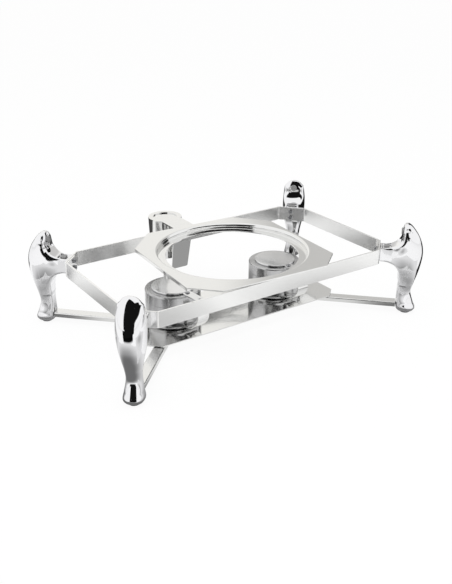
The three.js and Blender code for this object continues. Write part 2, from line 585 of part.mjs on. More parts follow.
function makeBurner(burner) {
  const place = (shape) => {
    const solid = shape.isBufferGeometry ? toSolid(shape) : shape;
    return solid.rotate([0, 0, burner.turn]).translate([burner.x, BURNER_Y, 0]);
  };
  const base = TRAY_TOP;
  const inner = CUP_RADIUS - CUP_WALL;
  const neck = inner - CLEARANCE;
  const cup = revolve([
    [0, base],
    ...bend(CUP_RADIUS - CUP_BEND, base + CUP_BEND, CUP_BEND, -90, 0, 4),
    [CUP_RADIUS, CUP_SEAM],
    [neck, CUP_SEAM],
    [neck, CUP_SEAM + NECK_HEIGHT],
    [neck - CUP_WALL, CUP_SEAM + NECK_HEIGHT],
    [neck - CUP_WALL, CUP_SEAM - CUP_WALL],
    [inner, CUP_SEAM - CUP_WALL],
    ...bend(CUP_RADIUS - CUP_BEND, base + CUP_BEND, CUP_BEND - CUP_WALL, 0, -90, 3),
    [0, base + CUP_WALL],
  ], BURNER_SIDES);
  add(`burner_cup_${burner.side}`, place(cup), 'brushedSteel');

  const canBase = base + CUP_WALL;
  const canTop = canBase + CAN_HEIGHT;
  const can = revolve([
    [0, canBase],
    [CUP_RADIUS - CUP_BEND - 2, canBase],
    [CAN_RADIUS, canBase + CUP_BEND],
    [CAN_RADIUS, canTop],
    [CAN_RADIUS - CAN_RIM, canTop],
    [CAN_RADIUS - CAN_RIM, canTop - CAN_RIM_DEPTH],
    [CAN_MOUTH, canTop - CAN_RIM_DEPTH],
    [CAN_MOUTH, canTop - CAN_MOUTH_DEPTH],
    [0, canTop - CAN_MOUTH_DEPTH],
  ], 20);
  add(`fuel_can_${burner.side}`, place(can), 'tinplate');
  const gelBase = canTop - CAN_MOUTH_DEPTH;
  const gel = cylinderZ(CAN_MOUTH - 3 * CLEARANCE, gelBase, gelBase + GEL_DEPTH);
  add(`fuel_gel_${burner.side}`, place(gel), 'fuelGel');

  const pivotHole = toSolid(cylinderZ(
    PIVOT_RADIUS + HOLE_CLEARANCE, CUP_SEAM, BURNER_TOP + 2 * LID_THICKNESS, 0, -PIVOT_REACH, 16,
  ));
  const collar = toSolid(revolve([
    [FLAME_OPENING, BURNER_TOP - COLLAR_SHEET],
    [inner - COLLAR_BEND, BURNER_TOP - COLLAR_SHEET],
    [inner, BURNER_TOP - COLLAR_SHEET - COLLAR_BEND / 2],
    [inner, CUP_SEAM + CLEARANCE],
    [CUP_RADIUS, CUP_SEAM + CLEARANCE],
    ...bend(CUP_RADIUS - COLLAR_BEND, BURNER_TOP - COLLAR_BEND, COLLAR_BEND, 0, 90, 3),
    [FLAME_OPENING, BURNER_TOP],
    [FLAME_OPENING, BURNER_TOP - COLLAR_SHEET],
  ], BURNER_SIDES));
  add(`burner_collar_${burner.side}`, place(collar.subtract(pivotHole)), 'brushedSteel');

  const lidBase = BURNER_TOP + CLEARANCE;
  const lidTop = lidBase + LID_THICKNESS;
  const disc = toSolid(revolve([
    [0, lidBase],
    [LID_RADIUS, lidBase],
    [LID_RADIUS, lidTop - LID_BEND],
    [LID_RADIUS - LID_BEND, lidTop],
    [0, lidTop],
  ], BURNER_SIDES));
  const armHalf = LID_ARM_WIDTH / 2;
  const armStart = -LID_RADIUS + LID_ARM_OVERLAP;
  const cut = LID_ARM_CORNER;
  const armOutline = [
    [-armHalf, armStart], [-armHalf, -LID_ARM_REACH + cut], [-armHalf + cut, -LID_ARM_REACH],
    [armHalf - cut, -LID_ARM_REACH], [armHalf, -LID_ARM_REACH + cut], [armHalf, armStart],
  ];
  const slot = toSolid(block(
    -LID_SLOT_WIDTH / 2, LID_SLOT_WIDTH / 2,
    -LID_SLOT_REACH - LID_SLOT_LENGTH / 2, -LID_SLOT_REACH + LID_SLOT_LENGTH / 2, lidBase - 1, lidTop + 1,
  ));
  const arm = toSolid(prism(armOutline, lidBase, lidTop - LID_BEND));
  const lid = disc.add(arm).subtract(slot).subtract(pivotHole);
  add(`burner_lid_${burner.side}`, place(lid), 'brushedSteel');

  const shelf = lidTop - LID_BEND + CLEARANCE;
  const under = BURNER_TOP - COLLAR_SHEET - CLEARANCE;
  const pivot = revolve([
    [0, under - PIVOT_HEAD_HEIGHT],
    [PIVOT_HEAD_RADIUS - 1, under - PIVOT_HEAD_HEIGHT],
    [PIVOT_HEAD_RADIUS - 1, under],
    [PIVOT_RADIUS, under],
    [PIVOT_RADIUS, shelf],
    [PIVOT_HEAD_RADIUS, shelf],
    [PIVOT_HEAD_RADIUS - 1, shelf + PIVOT_HEAD_HEIGHT],
    [0, shelf + PIVOT_HEAD_HEIGHT],
  ], 14).translate(0, -PIVOT_REACH, 0);
  add(`lid_pivot_${burner.side}`, place(pivot), 'screwSteel');

  const path = new THREE.SplineCurve(
    HANDLE_PATH.map(([reach, height]) => new THREE.Vector2(CUP_RADIUS + reach, height)),
  );
  const steps = 14;
  const sides = [1, -1].map((side) => Array.from({ length: steps + 1 }, (_, i) => {
    const point = path.getPoint(i / steps);
    const tangent = path.getTangent(i / steps);
    return [point.x - side * tangent.y * HANDLE_SHEET / 2, point.y + side * tangent.x * HANDLE_SHEET / 2];
  }));
  const strip = prism([...sides[0], ...sides[1].reverse()], -HANDLE_WIDTH / 2, HANDLE_WIDTH / 2);
  strip.rotateX(Math.PI / 2).rotateZ(-Math.PI / 2).translate(0, 0, base);
  const cupSpace = cylinderZ(CUP_RADIUS + CLEARANCE, base - 5, BURNER_TOP, 0, 0, 48);
  const handle = toSolid(strip).subtract(toSolid(cupSpace));
  add(`burner_handle_${burner.side}`, place(handle), 'polishedSteel');
}

function makeBracket() {
  const wall = FRAME_HALF_WIDTH + CLEARANCE;
  const half = NECK_HALF_WIDTH;
  const top = FRAME_TOP - CLEARANCE;
  const under = top - SHEET;
  const centreY = FRAME_HALF_WIDTH + SHELF_REACH - SHELF_RADIUS;
  const start = THREE.MathUtils.radToDeg(Math.acos(half / SHELF_RADIUS));
  const outline = [
    [-half, wall], [half, wall],
    ...bend(0, centreY, SHELF_RADIUS, -start, 180 + start, 24),
  ];
  const disc = (radius, z0, z1) => toSolid(cylinderZ(radius, z0, z1, 0, centreY, 32));
  const floor = top - RECESS_DEPTH;
  const strut = prism([
    [-STRUT_LOW_HALF, -STRUT_LENGTH], [STRUT_LOW_HALF, -STRUT_LENGTH],
    [half, SHEET / 2], [-half, SHEET / 2],
  ], 0, SHEET);
  strut.rotateX(Math.PI / 2 + THREE.MathUtils.degToRad(STRUT_TILT));
  strut.translate(0, wall + STRUT_FROM_BAR + SHEET, under);
  let bracket = toSolid(prism(outline, under, top))
    .add(disc(RECESS_RADIUS + SHEET, floor - SHEET, top))
    .subtract(disc(RECESS_RADIUS, floor, top + 1))
    .add(toSolid(block(-half, half, wall, wall + SHEET, top - TAB_DROP, top)))
    .add(toSolid(strut))
    .translate([BRACKET_X, 0, 0]);
  const bottom = under - REAR_CUP_HEIGHT;
  const cup = revolve([
    [REAR_CUP_LOW_RADIUS - REAR_CUP_WALL, bottom],
    [REAR_CUP_LOW_RADIUS, bottom],
    [SHELF_RADIUS, under],
    [SHELF_RADIUS - REAR_CUP_WALL, under],
    [REAR_CUP_LOW_RADIUS - REAR_CUP_WALL, bottom],
  ], 32).translate(BRACKET_X, centreY, 0);
  add('rear_cup', cup, 'polishedSteel');
  const rivetLength = STRIP_THICKNESS + SHEET + 3 * CLEARANCE;
  for (const side of [-1, 1]) {
    const x = BRACKET_X + side * RIVET_SPACING / 2;
    bracket = bracket.subtract(rivetHole(x));
    const rivet = revolve([
      [0, -RIVET_HEAD_HEIGHT],
      [RIVET_HEAD_RADIUS - 1, -RIVET_HEAD_HEIGHT],
      [RIVET_HEAD_RADIUS, 0],
      [RIVET_RADIUS, 0],
      [RIVET_RADIUS, rivetLength],
      [RIVET_HEAD_RADIUS, rivetLength],
      [RIVET_HEAD_RADIUS - 1, rivetLength + RIVET_HEAD_HEIGHT],
      [0, rivetLength + RIVET_HEAD_HEIGHT],
    ], 12);
    rivet.rotateX(-Math.PI / 2).translate(x, FRAME_HALF_WIDTH - STRIP_THICKNESS - CLEARANCE, RIVET_HEIGHT);
    add(`bracket_rivet_${side > 0 ? 'right' : 'left'}`, rivet, 'screwSteel');
  }
  add('rear_bracket', bracket, 'polishedSteel');
}

makeBars();
makeLegs();
makeRingPlate();
makeTray();
BURNERS.forEach(makeBurner);
makeBracket();

// The origin sits at the bottom centre of the whole stand
const box = new THREE.Box3().setFromObject(group);
const centre = box.getCenter(new THREE.Vector3());
for (const mesh of group.children) {
  mesh.geometry.translate(-centre.x, -centre.y, -box.min.z);
}

export default group;
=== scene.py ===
"""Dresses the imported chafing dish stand: cast legs, strip frame, ring plate, tray, burners and rear bracket.

Every piece is worked out in millimetres about the frame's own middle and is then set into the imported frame.
"""

from __future__ import annotations

import logging
import math
from collections.abc import Callable, Sequence
from dataclasses import dataclass, field
from enum import Enum
from typing import ClassVar

import bmesh
import bpy
import numpy as np
from bpy.types import ID, GeometryNodeTree, Material, Mesh, Node, NodeSocket, NodeTree, Object
from mathutils import Matrix, Vector

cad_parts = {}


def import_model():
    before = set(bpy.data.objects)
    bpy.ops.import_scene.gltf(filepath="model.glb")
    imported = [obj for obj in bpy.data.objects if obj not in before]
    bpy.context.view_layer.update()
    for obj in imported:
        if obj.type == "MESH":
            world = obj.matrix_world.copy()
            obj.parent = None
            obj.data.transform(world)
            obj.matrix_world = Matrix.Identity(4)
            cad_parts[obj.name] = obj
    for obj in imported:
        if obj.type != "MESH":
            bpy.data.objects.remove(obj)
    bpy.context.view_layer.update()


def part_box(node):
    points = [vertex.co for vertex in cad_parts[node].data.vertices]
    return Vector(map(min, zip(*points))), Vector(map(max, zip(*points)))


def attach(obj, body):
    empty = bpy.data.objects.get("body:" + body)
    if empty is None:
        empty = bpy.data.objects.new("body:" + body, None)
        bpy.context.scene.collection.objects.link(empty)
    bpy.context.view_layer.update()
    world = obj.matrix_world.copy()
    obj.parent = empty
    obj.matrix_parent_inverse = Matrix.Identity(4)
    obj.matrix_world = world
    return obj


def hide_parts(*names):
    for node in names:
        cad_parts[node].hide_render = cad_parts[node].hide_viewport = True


LOG = logging.getLogger("chafing_dish_stand")
MM = 0.001
# The photograph is taller than wide, so the camera's sensor spans its height
PHOTO_HEIGHT = 584
SHARP_ANGLE = math.radians(32)
ROOT_2 = math.sqrt(2)

Point2 = tuple[float, float]
Point3 = tuple[float, float, float]
Spots = tuple[np.ndarray, np.ndarray, np.ndarray]


# Small helpers for colours, nodes and objects


def linear(code: str) -> tuple[float, float, float, float]:
    """Turns an sRGB hex colour into linear light.

    Args:
        code: Six hex digits, with or without a leading mark.

    Returns:
        Linear red, green and blue, and an alpha of one.
    """
    digits = code.lstrip("#")
    channels = [int(digits[i : i + 2], 16) / 255 for i in (0, 2, 4)]
    red, green, blue = (c / 12.92 if c <= 0.04045 else ((c + 0.055) / 1.055) ** 2.4 for c in channels)
    return red, green, blue, 1.0


def add_node(
    tree: NodeTree,
    kind: str,
    inputs: dict[str | int, object] | None = None,
    **settings: object,
) -> Node:
    """Adds a node with its settings and inputs.

    Args:
        tree: The tree that gets the node.
        kind: The node's type name.
        inputs: Values or output sockets for its inputs, by name or number.
        **settings: The node's own properties.

    Returns:
        The new node.
    """
    made = tree.nodes.new(kind)
    for name, value in settings.items():
        setattr(made, name, value)
    for key, value in (inputs or {}).items():
        socket = made.inputs[key]
        if isinstance(value, NodeSocket):
            tree.links.new(value, socket)
        else:
            socket.default_value = value
    return made


def new_mesh(
    name: str,
    points: Sequence[Sequence[float]],
    edges: Sequence[tuple[int, int]] = (),
    faces: Sequence[Sequence[int]] = (),
) -> Mesh:
    """Makes a mesh.

    Args:
        name: The mesh's name.
        points: Its vertices, in metres.
        edges: Its loose edges.
        faces: Its faces.

    Returns:
        The new mesh.
    """
    mesh = bpy.data.meshes.new(name)
    mesh.from_pydata(points, edges, faces)
    return mesh


def new_object(name: str, data: ID) -> Object:
    """Makes an object and links it to the scene.

    Args:
        name: The object's name.
        data: Its mesh, camera or lamp.

    Returns:
        The new object.
    """
    made = bpy.data.objects.new(name, data)
    bpy.context.scene.collection.objects.link(made)
    return made


# Finishes


class Grain(Enum):
    """How a metal surface was worked."""

    CAST = "cast and plated"
    ROLLED = "rolled and polished"
    TURNED = "brushed round an upright axis"
    PLAIN = "left as pressed"


# Rolled lines are drawn 25 times as long as they are wide
ROLLED_SCALE = (0.04, 1.0, 1.0)
# Turned lines are drawn as if one radian round the axis were this many metres, so they run long
TURNED_LENGTH = 0.006


@dataclass(frozen=True)
class Finish:
    """Rubber, gel or another finish: a fine pattern mixes its two tones and gives a slight relief."""

    name: str
    slot: str
    colour: str
    shade: str
    roughness: float
    grain_mm: float
    bump: float
    relief_mm: ClassVar[float] = 0.2
    detail: ClassVar[float] = 3.0
    raggedness: ClassVar[float] = 0.5

    def laid(self, tree: NodeTree, place: NodeSocket) -> NodeSocket:
        """Gives the place that the pattern is drawn on, which is the plain one here."""
        return place

    def polish(self, tree: NodeTree, shader: Node, pattern: NodeSocket) -> None:
        """Sets how rough the surface is, which is even here."""
        shader.inputs["Roughness"].default_value = self.roughness

    def build(self) -> Material:
        """Makes the material.

        Returns:
            The finished material.
        """
        material = bpy.data.materials.new(self.name)
        material.use_nodes = True
        tree = material.node_tree
        shader = tree.nodes["Principled BSDF"]
        place = self.laid(tree, add_node(tree, "ShaderNodeTexCoord").outputs["Object"])
        scale = 1.0 / (self.grain_mm * MM)
        grain = {"Vector": place, "Scale": scale, "Detail": self.detail, "Roughness": self.raggedness}
        pattern = add_node(tree, "ShaderNodeTexNoise", grain).outputs["Fac"]
        tones = {"Factor": pattern, "A": linear(self.shade), "B": linear(self.colour)}
        tone = add_node(tree, "ShaderNodeMix", tones, data_type="RGBA")
        tree.links.new(tone.outputs["Result"], shader.inputs["Base Color"])
        height = {"Height": pattern, "Strength": self.bump, "Distance": self.relief_mm * MM}
        relief = add_node(tree, "ShaderNodeBump", height)
        tree.links.new(relief.outputs["Normal"], shader.inputs["Normal"])
        self.polish(tree, shader, pattern)
        return material


@dataclass(frozen=True)
class MetalFinish(Finish):
    """A bare or plated metal."""

    spread: float
    grain: Grain
    centre: Point2 = (0.0, 0.0)
    relief_mm: ClassVar[float] = 0.1
    detail: ClassVar[float] = 4.0
    raggedness: ClassVar[float] = 0.55
    smoothest: ClassVar[float] = 0.02

    def laid(self, tree: NodeTree, place: NodeSocket) -> NodeSocket:
        """Stretches the pattern along the lines that the work left.

        Args:
            tree: The material's tree.
            place: The place on the object.

        Returns:
            The place that the pattern is drawn on.
        """
        if self.grain is Grain.ROLLED:
            return add_node(tree, "ShaderNodeMapping", {"Vector": place, "Scale": ROLLED_SCALE}).outputs[0]
        if self.grain is not Grain.TURNED:
            return place
        axis = (self.centre[0] * MM, self.centre[1] * MM, 0.0)
        moved = add_node(tree, "ShaderNodeVectorMath", {0: place, 1: axis}, operation="SUBTRACT")
        apart = add_node(tree, "ShaderNodeSeparateXYZ", {0: moved.outputs[0]}).outputs
        flat = add_node(tree, "ShaderNodeCombineXYZ", {"X": apart["X"], "Y": apart["Y"]})
        reach = add_node(tree, "ShaderNodeVectorMath", {0: flat.outputs[0]}, operation="LENGTH")
        across = add_node(
            tree, "ShaderNodeMath", {0: reach.outputs["Value"], 1: apart["Z"]}, operation="ADD"
        )
        turn = add_node(tree, "ShaderNodeMath", {0: apart["Y"], 1: apart["X"]}, operation="ARCTAN2")
        around = add_node(
            tree, "ShaderNodeMath", {0: turn.outputs[0], 1: TURNED_LENGTH}, operation="MULTIPLY"
        )
        return add_node(
            tree, "ShaderNodeCombineXYZ", {"X": across.outputs[0], "Y": around.outputs[0]}
        ).outputs[0]

    def polish(self, tree: NodeTree, shader: Node, pattern: NodeSocket) -> None:
        """Makes the surface metal, rougher in the light parts of its pattern.

        Args:
            tree: The material's tree.
            shader: The material's shader.
            pattern: The pattern's value.
        """
        shader.inputs["Metallic"].default_value = 1.0
        low, high = max(self.roughness - self.spread, self.smoothest), self.roughness + self.spread
        span = {"Value": pattern, "From Min": 0.25, "From Max": 0.75, "To Min": low, "To Max": high}
        rough = add_node(tree, "ShaderNodeMapRange", span)
        tree.links.new(rough.outputs["Result"], shader.inputs["Roughness"])


# The numbers after the tones are the roughness, the grain's width in millimetres and its relief's strength

# Zinc casting, buffed and chromed: near mirror, with the faint waviness of a casting, some 26 mm long
CAST_CHROME = MetalFinish(
    "chromed_zinc_casting", "cast_chrome", "#F5F5F6", "#EEEEF0",
    0.05, 26.0, 0.12, spread=0.015, grain=Grain.CAST
)
# Stainless sheet, rolled and mirror polished: slightly softer than the chrome, with a faint grain. The
# real grain is too fine to show, so it is drawn 0.9 mm wide
POLISHED_SHEET = MetalFinish(
    "polished_stainless_sheet", "polished_steel", "#F0F0EF", "#E8E8E7",
    0.09, 0.9, 0.05, spread=0.03, grain=Grain.ROLLED
)
# Stainless strip of the frame: the same rolled sheet with a satin face, whose reflections are soft
SATIN_STRIP = MetalFinish(
    "satin_stainless_strip", "polished_steel", "#FAFAF9", "#F2F2F1",
    0.24, 0.9, 0.05, spread=0.03, grain=Grain.ROLLED
)
# Machine screws, pressed and zinc plated: dull grey. The grit of the plating is drawn 1.2 mm wide to show
SCREW_STEEL = MetalFinish(
    "zinc_plated_screw_steel", "screw_steel", "#B4B5B8", "#9C9DA0",
    0.3, 1.2, 0.1, spread=0.06, grain=Grain.PLAIN
)
# Tinned can of the fuel, satin as it leaves the press. The grain of its tin is drawn 2.5 mm wide
TINPLATE = MetalFinish(
    "pressed_tinplate", "tinplate", "#C9CAC6", "#BDBEBA",
    0.32, 2.5, 0.1, spread=0.06, grain=Grain.PLAIN
)
# Grey rubber of the arm pads and plugs, moulded: matt, with the fine grit of its mould
GREY_RUBBER = Finish("moulded_grey_rubber", "grey_rubber", "#8E8E8E", "#838383", 0.62, 0.5, 0.25)
# Black rubber of the feet, moulded: matt and almost black
BLACK_RUBBER = Finish("moulded_black_rubber", "black_rubber", "#242426", "#1C1C1E", 0.7, 0.5, 0.3)
# Alcohol gel, poured and set in its can: smooth and faintly blue, with slow ripples 4 mm wide
FUEL_GEL = Finish("set_alcohol_gel", "fuel_gel", "#8FB4C9", "#82A9C0", 0.18, 4.0, 0.1)


def turned_steel(part: str, centre: Point2, tones: tuple[str, str]) -> MetalFinish:
    """Gives the burners' stainless sheet, brushed on a lathe.

    Its lines run round the burner's axis and stretch each reflection across them. The real ones are too
    fine to show, so they are drawn 0.35 mm wide.

    Args:
        part: Which part it is for.
        centre: Where the burner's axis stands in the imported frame, in millimetres.
        tones: Its lighter and its darker tone.

    Returns:
        The finish.
    """
    name = f"turned_stainless_{part}"
    return MetalFinish(
        name, "brushed_steel", *tones, 0.17, 0.35, 0.12, spread=0.05, grain=Grain.TURNED, centre=centre
    )


# Shapes in millimetres


def fillet(points: Sequence[Point2], radii: Sequence[float] | float, steps: int = 6) -> list[Point2]:
    """Rounds the corners of a closed outline.

    Args:
        points: The outline's corners in order.
        radii: One radius for all corners, or one for each.
        steps: Straight pieces in each rounding.

    Returns:
        The rounded outline.
    """
    corners = [np.array(p, float) for p in points]
    count = len(corners)
    sizes = [float(radii)] * count if isinstance(radii, (int, float)) else list(radii)
    result: list[Point2] = []
    for i, corner in enumerate(corners):
        before = corners[i - 1] - corner
        after = corners[(i + 1) % count] - corner
        if sizes[i] <= 0:
            result.append((float(corner[0]), float(corner[1])))
            continue
        first = before / np.linalg.norm(before)
        second = after / np.linalg.norm(after)
        angle = math.acos(float(np.clip(first @ second, -1, 1)))
        reach = sizes[i] / math.tan(angle / 2)
        middle = corner + (first + second) / np.linalg.norm(first + second) * sizes[i] / math.sin(angle / 2)
        start = corner + first * reach - middle
        end = corner + second * reach - middle
        sweep = math.acos(float(np.clip(start @ end / sizes[i] ** 2, -1, 1)))
        for k in range(steps + 1):
            part = k / steps
            bow = math.sin((1 - part) * sweep) * start + math.sin(part * sweep) * end
            spot = middle + bow / math.sin(sweep)
            result.append((float(spot[0]), float(spot[1])))
    return result


@dataclass
class Shape:
    """Vertices in millimetres and faces that grow piece by piece."""

    points: list[Point3] = field(default_factory=list)
    faces: list[tuple[int, ...]] = field(default_factory=list)

    def add(self, points: Sequence[Point3], faces: Sequence[Sequence[int]]) -> Shape:
        """Adds one more closed body to the shape.

        Args:
            points: Its vertices.
            faces: Its faces, counted from its own first vertex.

        Returns:
            The shape itself.
        """
        base = len(self.points)
        self.points.extend((float(x), float(y), float(z)) for x, y, z in points)
        self.faces.extend(tuple(base + i for i in face) for face in faces)
        return self

    def moved(self, change: Callable[[np.ndarray], np.ndarray]) -> Shape:
        """Gives a copy whose vertices went through a function."""
        spots = change(np.array(self.points, float))
        return Shape([tuple(p) for p in spots.tolist()], list(self.faces))

    def shifted(self, x: float = 0.0, y: float = 0.0) -> Shape:
        """Gives a copy moved along the floor."""
        return self.moved(lambda p: p + np.array([x, y, 0]))

    def turned(self, degrees: float, x: float = 0.0, y: float = 0.0) -> Shape:
        """Gives a copy turned about the upright axis and then moved along the floor.

        Args:
            degrees: How far it turns, counter-clockwise.
            x: How far it moves along the long bars.
            y: How far it moves towards the back.

        Returns:
            The new shape.
        """
        angle = math.radians(degrees)
        matrix = np.array(
            [[math.cos(angle), -math.sin(angle), 0], [math.sin(angle), math.cos(angle), 0], [0, 0, 1]]
        )
        return self.moved(lambda p: p @ matrix.T + np.array([x, y, 0]))


def lathe(profile: Sequence[Point2], sides: int = 128) -> Shape:
    """Turns a closed profile of radius and height about the upright axis.

    Args:
        profile: Counter-clockwise points; those on the axis have a radius of zero.
        sides: Faces round the axis.

    Returns:
        A closed body.
    """
    points: list[Point3] = []
    rows: list[list[int]] = []
    for radius, height in profile:
        if radius < 1e-9:
            points.append((0, 0, height))
            rows.append([len(points) - 1] * sides)
            continue
        start = len(points)
        for k in range(sides):
            angle = 2 * math.pi * k / sides
            points.append((radius * math.cos(angle), radius * math.sin(angle), height))
        rows.append(list(range(start, start + sides)))
    faces: list[tuple[int, ...]] = []
    for i, row in enumerate(rows):
        following = rows[(i + 1) % len(rows)]
        if row[0] == row[1] and following[0] == following[1]:
            continue
        for k in range(sides):
            n = (k + 1) % sides
            loop = (row[k], row[n], following[n], following[k])
            faces.append(tuple(dict.fromkeys(loop)))
    return Shape().add(points, faces)


def prism(outline: Sequence[Point2], low: float, high: float) -> Shape:
    """Raises an outline between two heights.

    Args:
        outline: Its corners, counter-clockwise.
        low: Height of its underside.
        high: Height of its top.

    Returns:
        A closed body.
    """
    count = len(outline)
    points = [(x, y, low) for x, y in outline] + [(x, y, high) for x, y in outline]
    faces: list[tuple[int, ...]] = [tuple(reversed(range(count))), tuple(range(count, 2 * count))]
    for i in range(count):
        n = (i + 1) % count
        faces.append((i, n, n + count, i + count))
    return Shape().add(points, faces)


def oblong(left: float, low: float, right: float, high: float) -> list[Point2]:
    """Lists the corners of an oblong, counter-clockwise from its lower left."""
    return [(left, low), (right, low), (right, high), (left, high)]


def eight_sided(length: float, width: float, front: Point2, back: Point2) -> list[Point2]:
    """Lists the corners of an oblong sheet whose own corners are cut off.

    Args:
        length: Half its length.
        width: Half its width.
        front: What each front corner loses along the length and along the width.
        back: The same for the back corners.

    Returns:
        The corners, counter-clockwise.
    """
    fx, fy = front
    bx, by = back
    lower = [(-length + fx, -width), (length - fx, -width), (length, -width + fy)]
    upper = [(length, width - by), (length - bx, width), (-length + bx, width), (-length, width - by)]
    return lower + upper + [(-length, -width + fy)]


def smooth_steps(value: np.ndarray, low: float, high: float) -> np.ndarray:
    """Rises smoothly from zero at one value to one at the other."""
    part = np.clip((value - low) / (high - low), 0, 1)
    return part * part * (3 - 2 * part)


def spline_through(points: Sequence[Sequence[float]], per_span: int = 12) -> np.ndarray:
    """Draws a smooth curve through points.

    Args:
        points: The points, of any dimension.
        per_span: Pieces between two of them.

    Returns:
        The curve's points, one to a row.
    """
    knots = np.array(points, float)
    padded = np.vstack([2 * knots[0] - knots[1], knots, 2 * knots[-1] - knots[-2]])
    rows = []
    for i in range(len(knots) - 1):
        a, b, c, d = padded[i : i + 4]
        square, cube = 2 * a - 5 * b + 4 * c - d, 3 * b - a - 3 * c + d
        for k in range(per_span):
            u = k / per_span
            rows.append(0.5 * (2 * b + (c - a) * u + square * u**2 + cube * u**3))
    rows.append(knots[-1])
    return np.array(rows)


# Blender objects


@dataclass
class Bench:
    """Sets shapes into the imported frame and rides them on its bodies.

    Shapes, widths and places are in millimetres, about the middle of the strip frame.
    """

    origin: Vector
    coats: dict[Finish, Material] = field(default_factory=dict)

    def coat(self, finish: Finish) -> Material:
        """Gives a finish's material, which is made when it is first needed.

        Args:
            finish: The finish.

        Returns:
            Its material.
        """
        if finish not in self.coats:
            self.coats[finish] = finish.build()
        return self.coats[finish]

    def piece(
        self, name: str, shape: Shape, finish: Finish, edge: float = 0.0, sharp: float = SHARP_ANGLE
    ) -> Object:
        """Makes an object from a shape.

        Args:
            name: The object's name.
            shape: Its shape.
            finish: What it is made of.
            edge: Width of the rounding on its sharp edges.
            sharp: Angle above which an edge stays sharp.

        Returns:
            The new object.
        """
        spots = np.array(shape.points, float) * MM + np.array(self.origin)
        mesh = new_mesh(name, spots.tolist(), faces=shape.faces)
        mesh.validate()
        mesh.materials.append(self.coat(finish))
        made = new_object(name, mesh)
        self.smooth(made, sharp)
        if edge > 0:
            self.ease(made, edge)
        return made

    def fit(
        self, name: str, shape: Shape, finish: Finish, body: str, nodes: Sequence[str], edge: float = 0.0
    ) -> None:
        """Makes a piece that needs no more work and settles it.

        Args:
            name: The piece's name.
            shape: Its shape.
            finish: What it is made of.
            body: The body that it rides on.
            nodes: The nodes that it stands for.
            edge: Width of the rounding on its sharp edges.
        """
        self.settle(self.piece(name, shape, finish, edge), finish, body, nodes)

    @staticmethod
    def smooth(made: Object, sharp: float = SHARP_ANGLE) -> None:
        """Shades an object smoothly, apart from its sharp edges."""
        made.data.shade_smooth()
        made.data.set_sharp_from_angle(angle=sharp)

    def ease(
        self, made: Object, width: float, segments: int = 2, angle: float = SHARP_ANGLE, harden: bool = True
    ) -> None:
        """Rounds an object's sharp edges.

        Args:
            made: The object to change.
            width: Width of the rounding.
            segments: Rows of faces in the rounding.
            angle: Angle above which an edge is sharp.
            harden: Whether the faces beside the rounding keep their own direction.
        """
        bevel = made.modifiers.new("edge", "BEVEL")
        bevel.width = width * MM
        bevel.segments = segments
        bevel.limit_method = "ANGLE"
        bevel.angle_limit = angle
        bevel.use_clamp_overlap = True
        bevel.harden_normals = harden
        self.bake(made)

    @staticmethod
    def bake(made: Object) -> None:
        """Turns an object's modifiers into plain mesh.

        Args:
            made: The object to change.
        """
        graph = bpy.context.evaluated_depsgraph_get()
        mesh = bpy.data.meshes.new_from_object(made.evaluated_get(graph))
        made.modifiers.clear()
        old = made.data
        made.data = mesh
        mesh.name = made.name
        bpy.data.meshes.remove(old)

    @staticmethod
    def discard(made: Object) -> None:
        """Deletes an object and its mesh.

        Args:
            made: The object to delete.
        """
        old = made.data
        bpy.data.objects.remove(made)
        bpy.data.meshes.remove(old)

    def carve(
        self, made: Object, finish: Finish, shapes: Sequence[Shape], operation: str = "DIFFERENCE"
    ) -> None:
        """Cuts shapes out of an object, or joins them to it.

        Args:
            made: The object to change.
            finish: What it is made of.
            shapes: The shapes.
            operation: The name of the boolean operation.
        """
        for shape in shapes:
            tool = self.piece("tool", shape, finish)
            modifier = made.modifiers.new("cut", "BOOLEAN")
            modifier.operation = operation
            modifier.solver = "EXACT"
            modifier.object = tool
            self.bake(made)
            self.discard(tool)

    @staticmethod
    def flatten(made: Object, same_spot: float = 0.005, same_plane: float = 0.3) -> None:
        """Joins the faces that a cut left in one plane.

        Args:
            made: The object to change.
            same_spot: Distance under which two vertices are one, in millimetres.
            same_plane: Angle under which two faces are one, in degrees.
        """
        work = bmesh.new()
        work.from_mesh(made.data)
        bmesh.ops.remove_doubles(work, verts=work.verts, dist=same_spot * MM)
        bmesh.ops.dissolve_limit(
            work, angle_limit=math.radians(same_plane), verts=work.verts, edges=work.edges
        )
        work.to_mesh(made.data)
        work.free()

    def even(self, made: Object) -> None:
        """Weighs the normals by area, so that flat faces stay flat beside their rounded edges.

        Args:
            made: The object to change.
        """
        weigh = made.modifiers.new("even", "WEIGHTED_NORMAL")
        weigh.keep_sharp = True
        self.bake(made)

    def settle(self, made: Object, finish: Finish, body: str, nodes: Sequence[str]) -> None:
        """Rides a finished piece on its body.

        Args:
            made: The piece.
            finish: What it is made of; not used.
            body: The body that it rides on.
            nodes: The nodes that it stands for.
        """
        if not made.data.has_custom_normals:
            self.even(made)
        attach(made, body)
        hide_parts(*nodes)
        LOG.info("%s: %d faces on %s", made.name, len(made.data.polygons), body)


# Geometry Nodes trees

STRIP_SIZES = ("Height", "Thickness", "Edge", "Bend Radius")


def new_tree(name: str, sockets: Sequence[tuple[str, str]]) -> GeometryNodeTree:
    """Starts a tree.

    Args:
        name: The tree's name.
        sockets: Name and type of each input beside its geometry.

    Returns:
        The tree, with its inputs and one geometry output.
    """
    tree = bpy.data.node_groups.new(name, "GeometryNodeTree")
    tree.interface.new_socket("Geometry", in_out="INPUT", socket_type="NodeSocketGeometry")
    for label, kind in sockets:
        tree.interface.new_socket(label, in_out="INPUT", socket_type=kind)
    tree.interface.new_socket("Geometry", in_out="OUTPUT", socket_type="NodeSocketGeometry")
    return tree


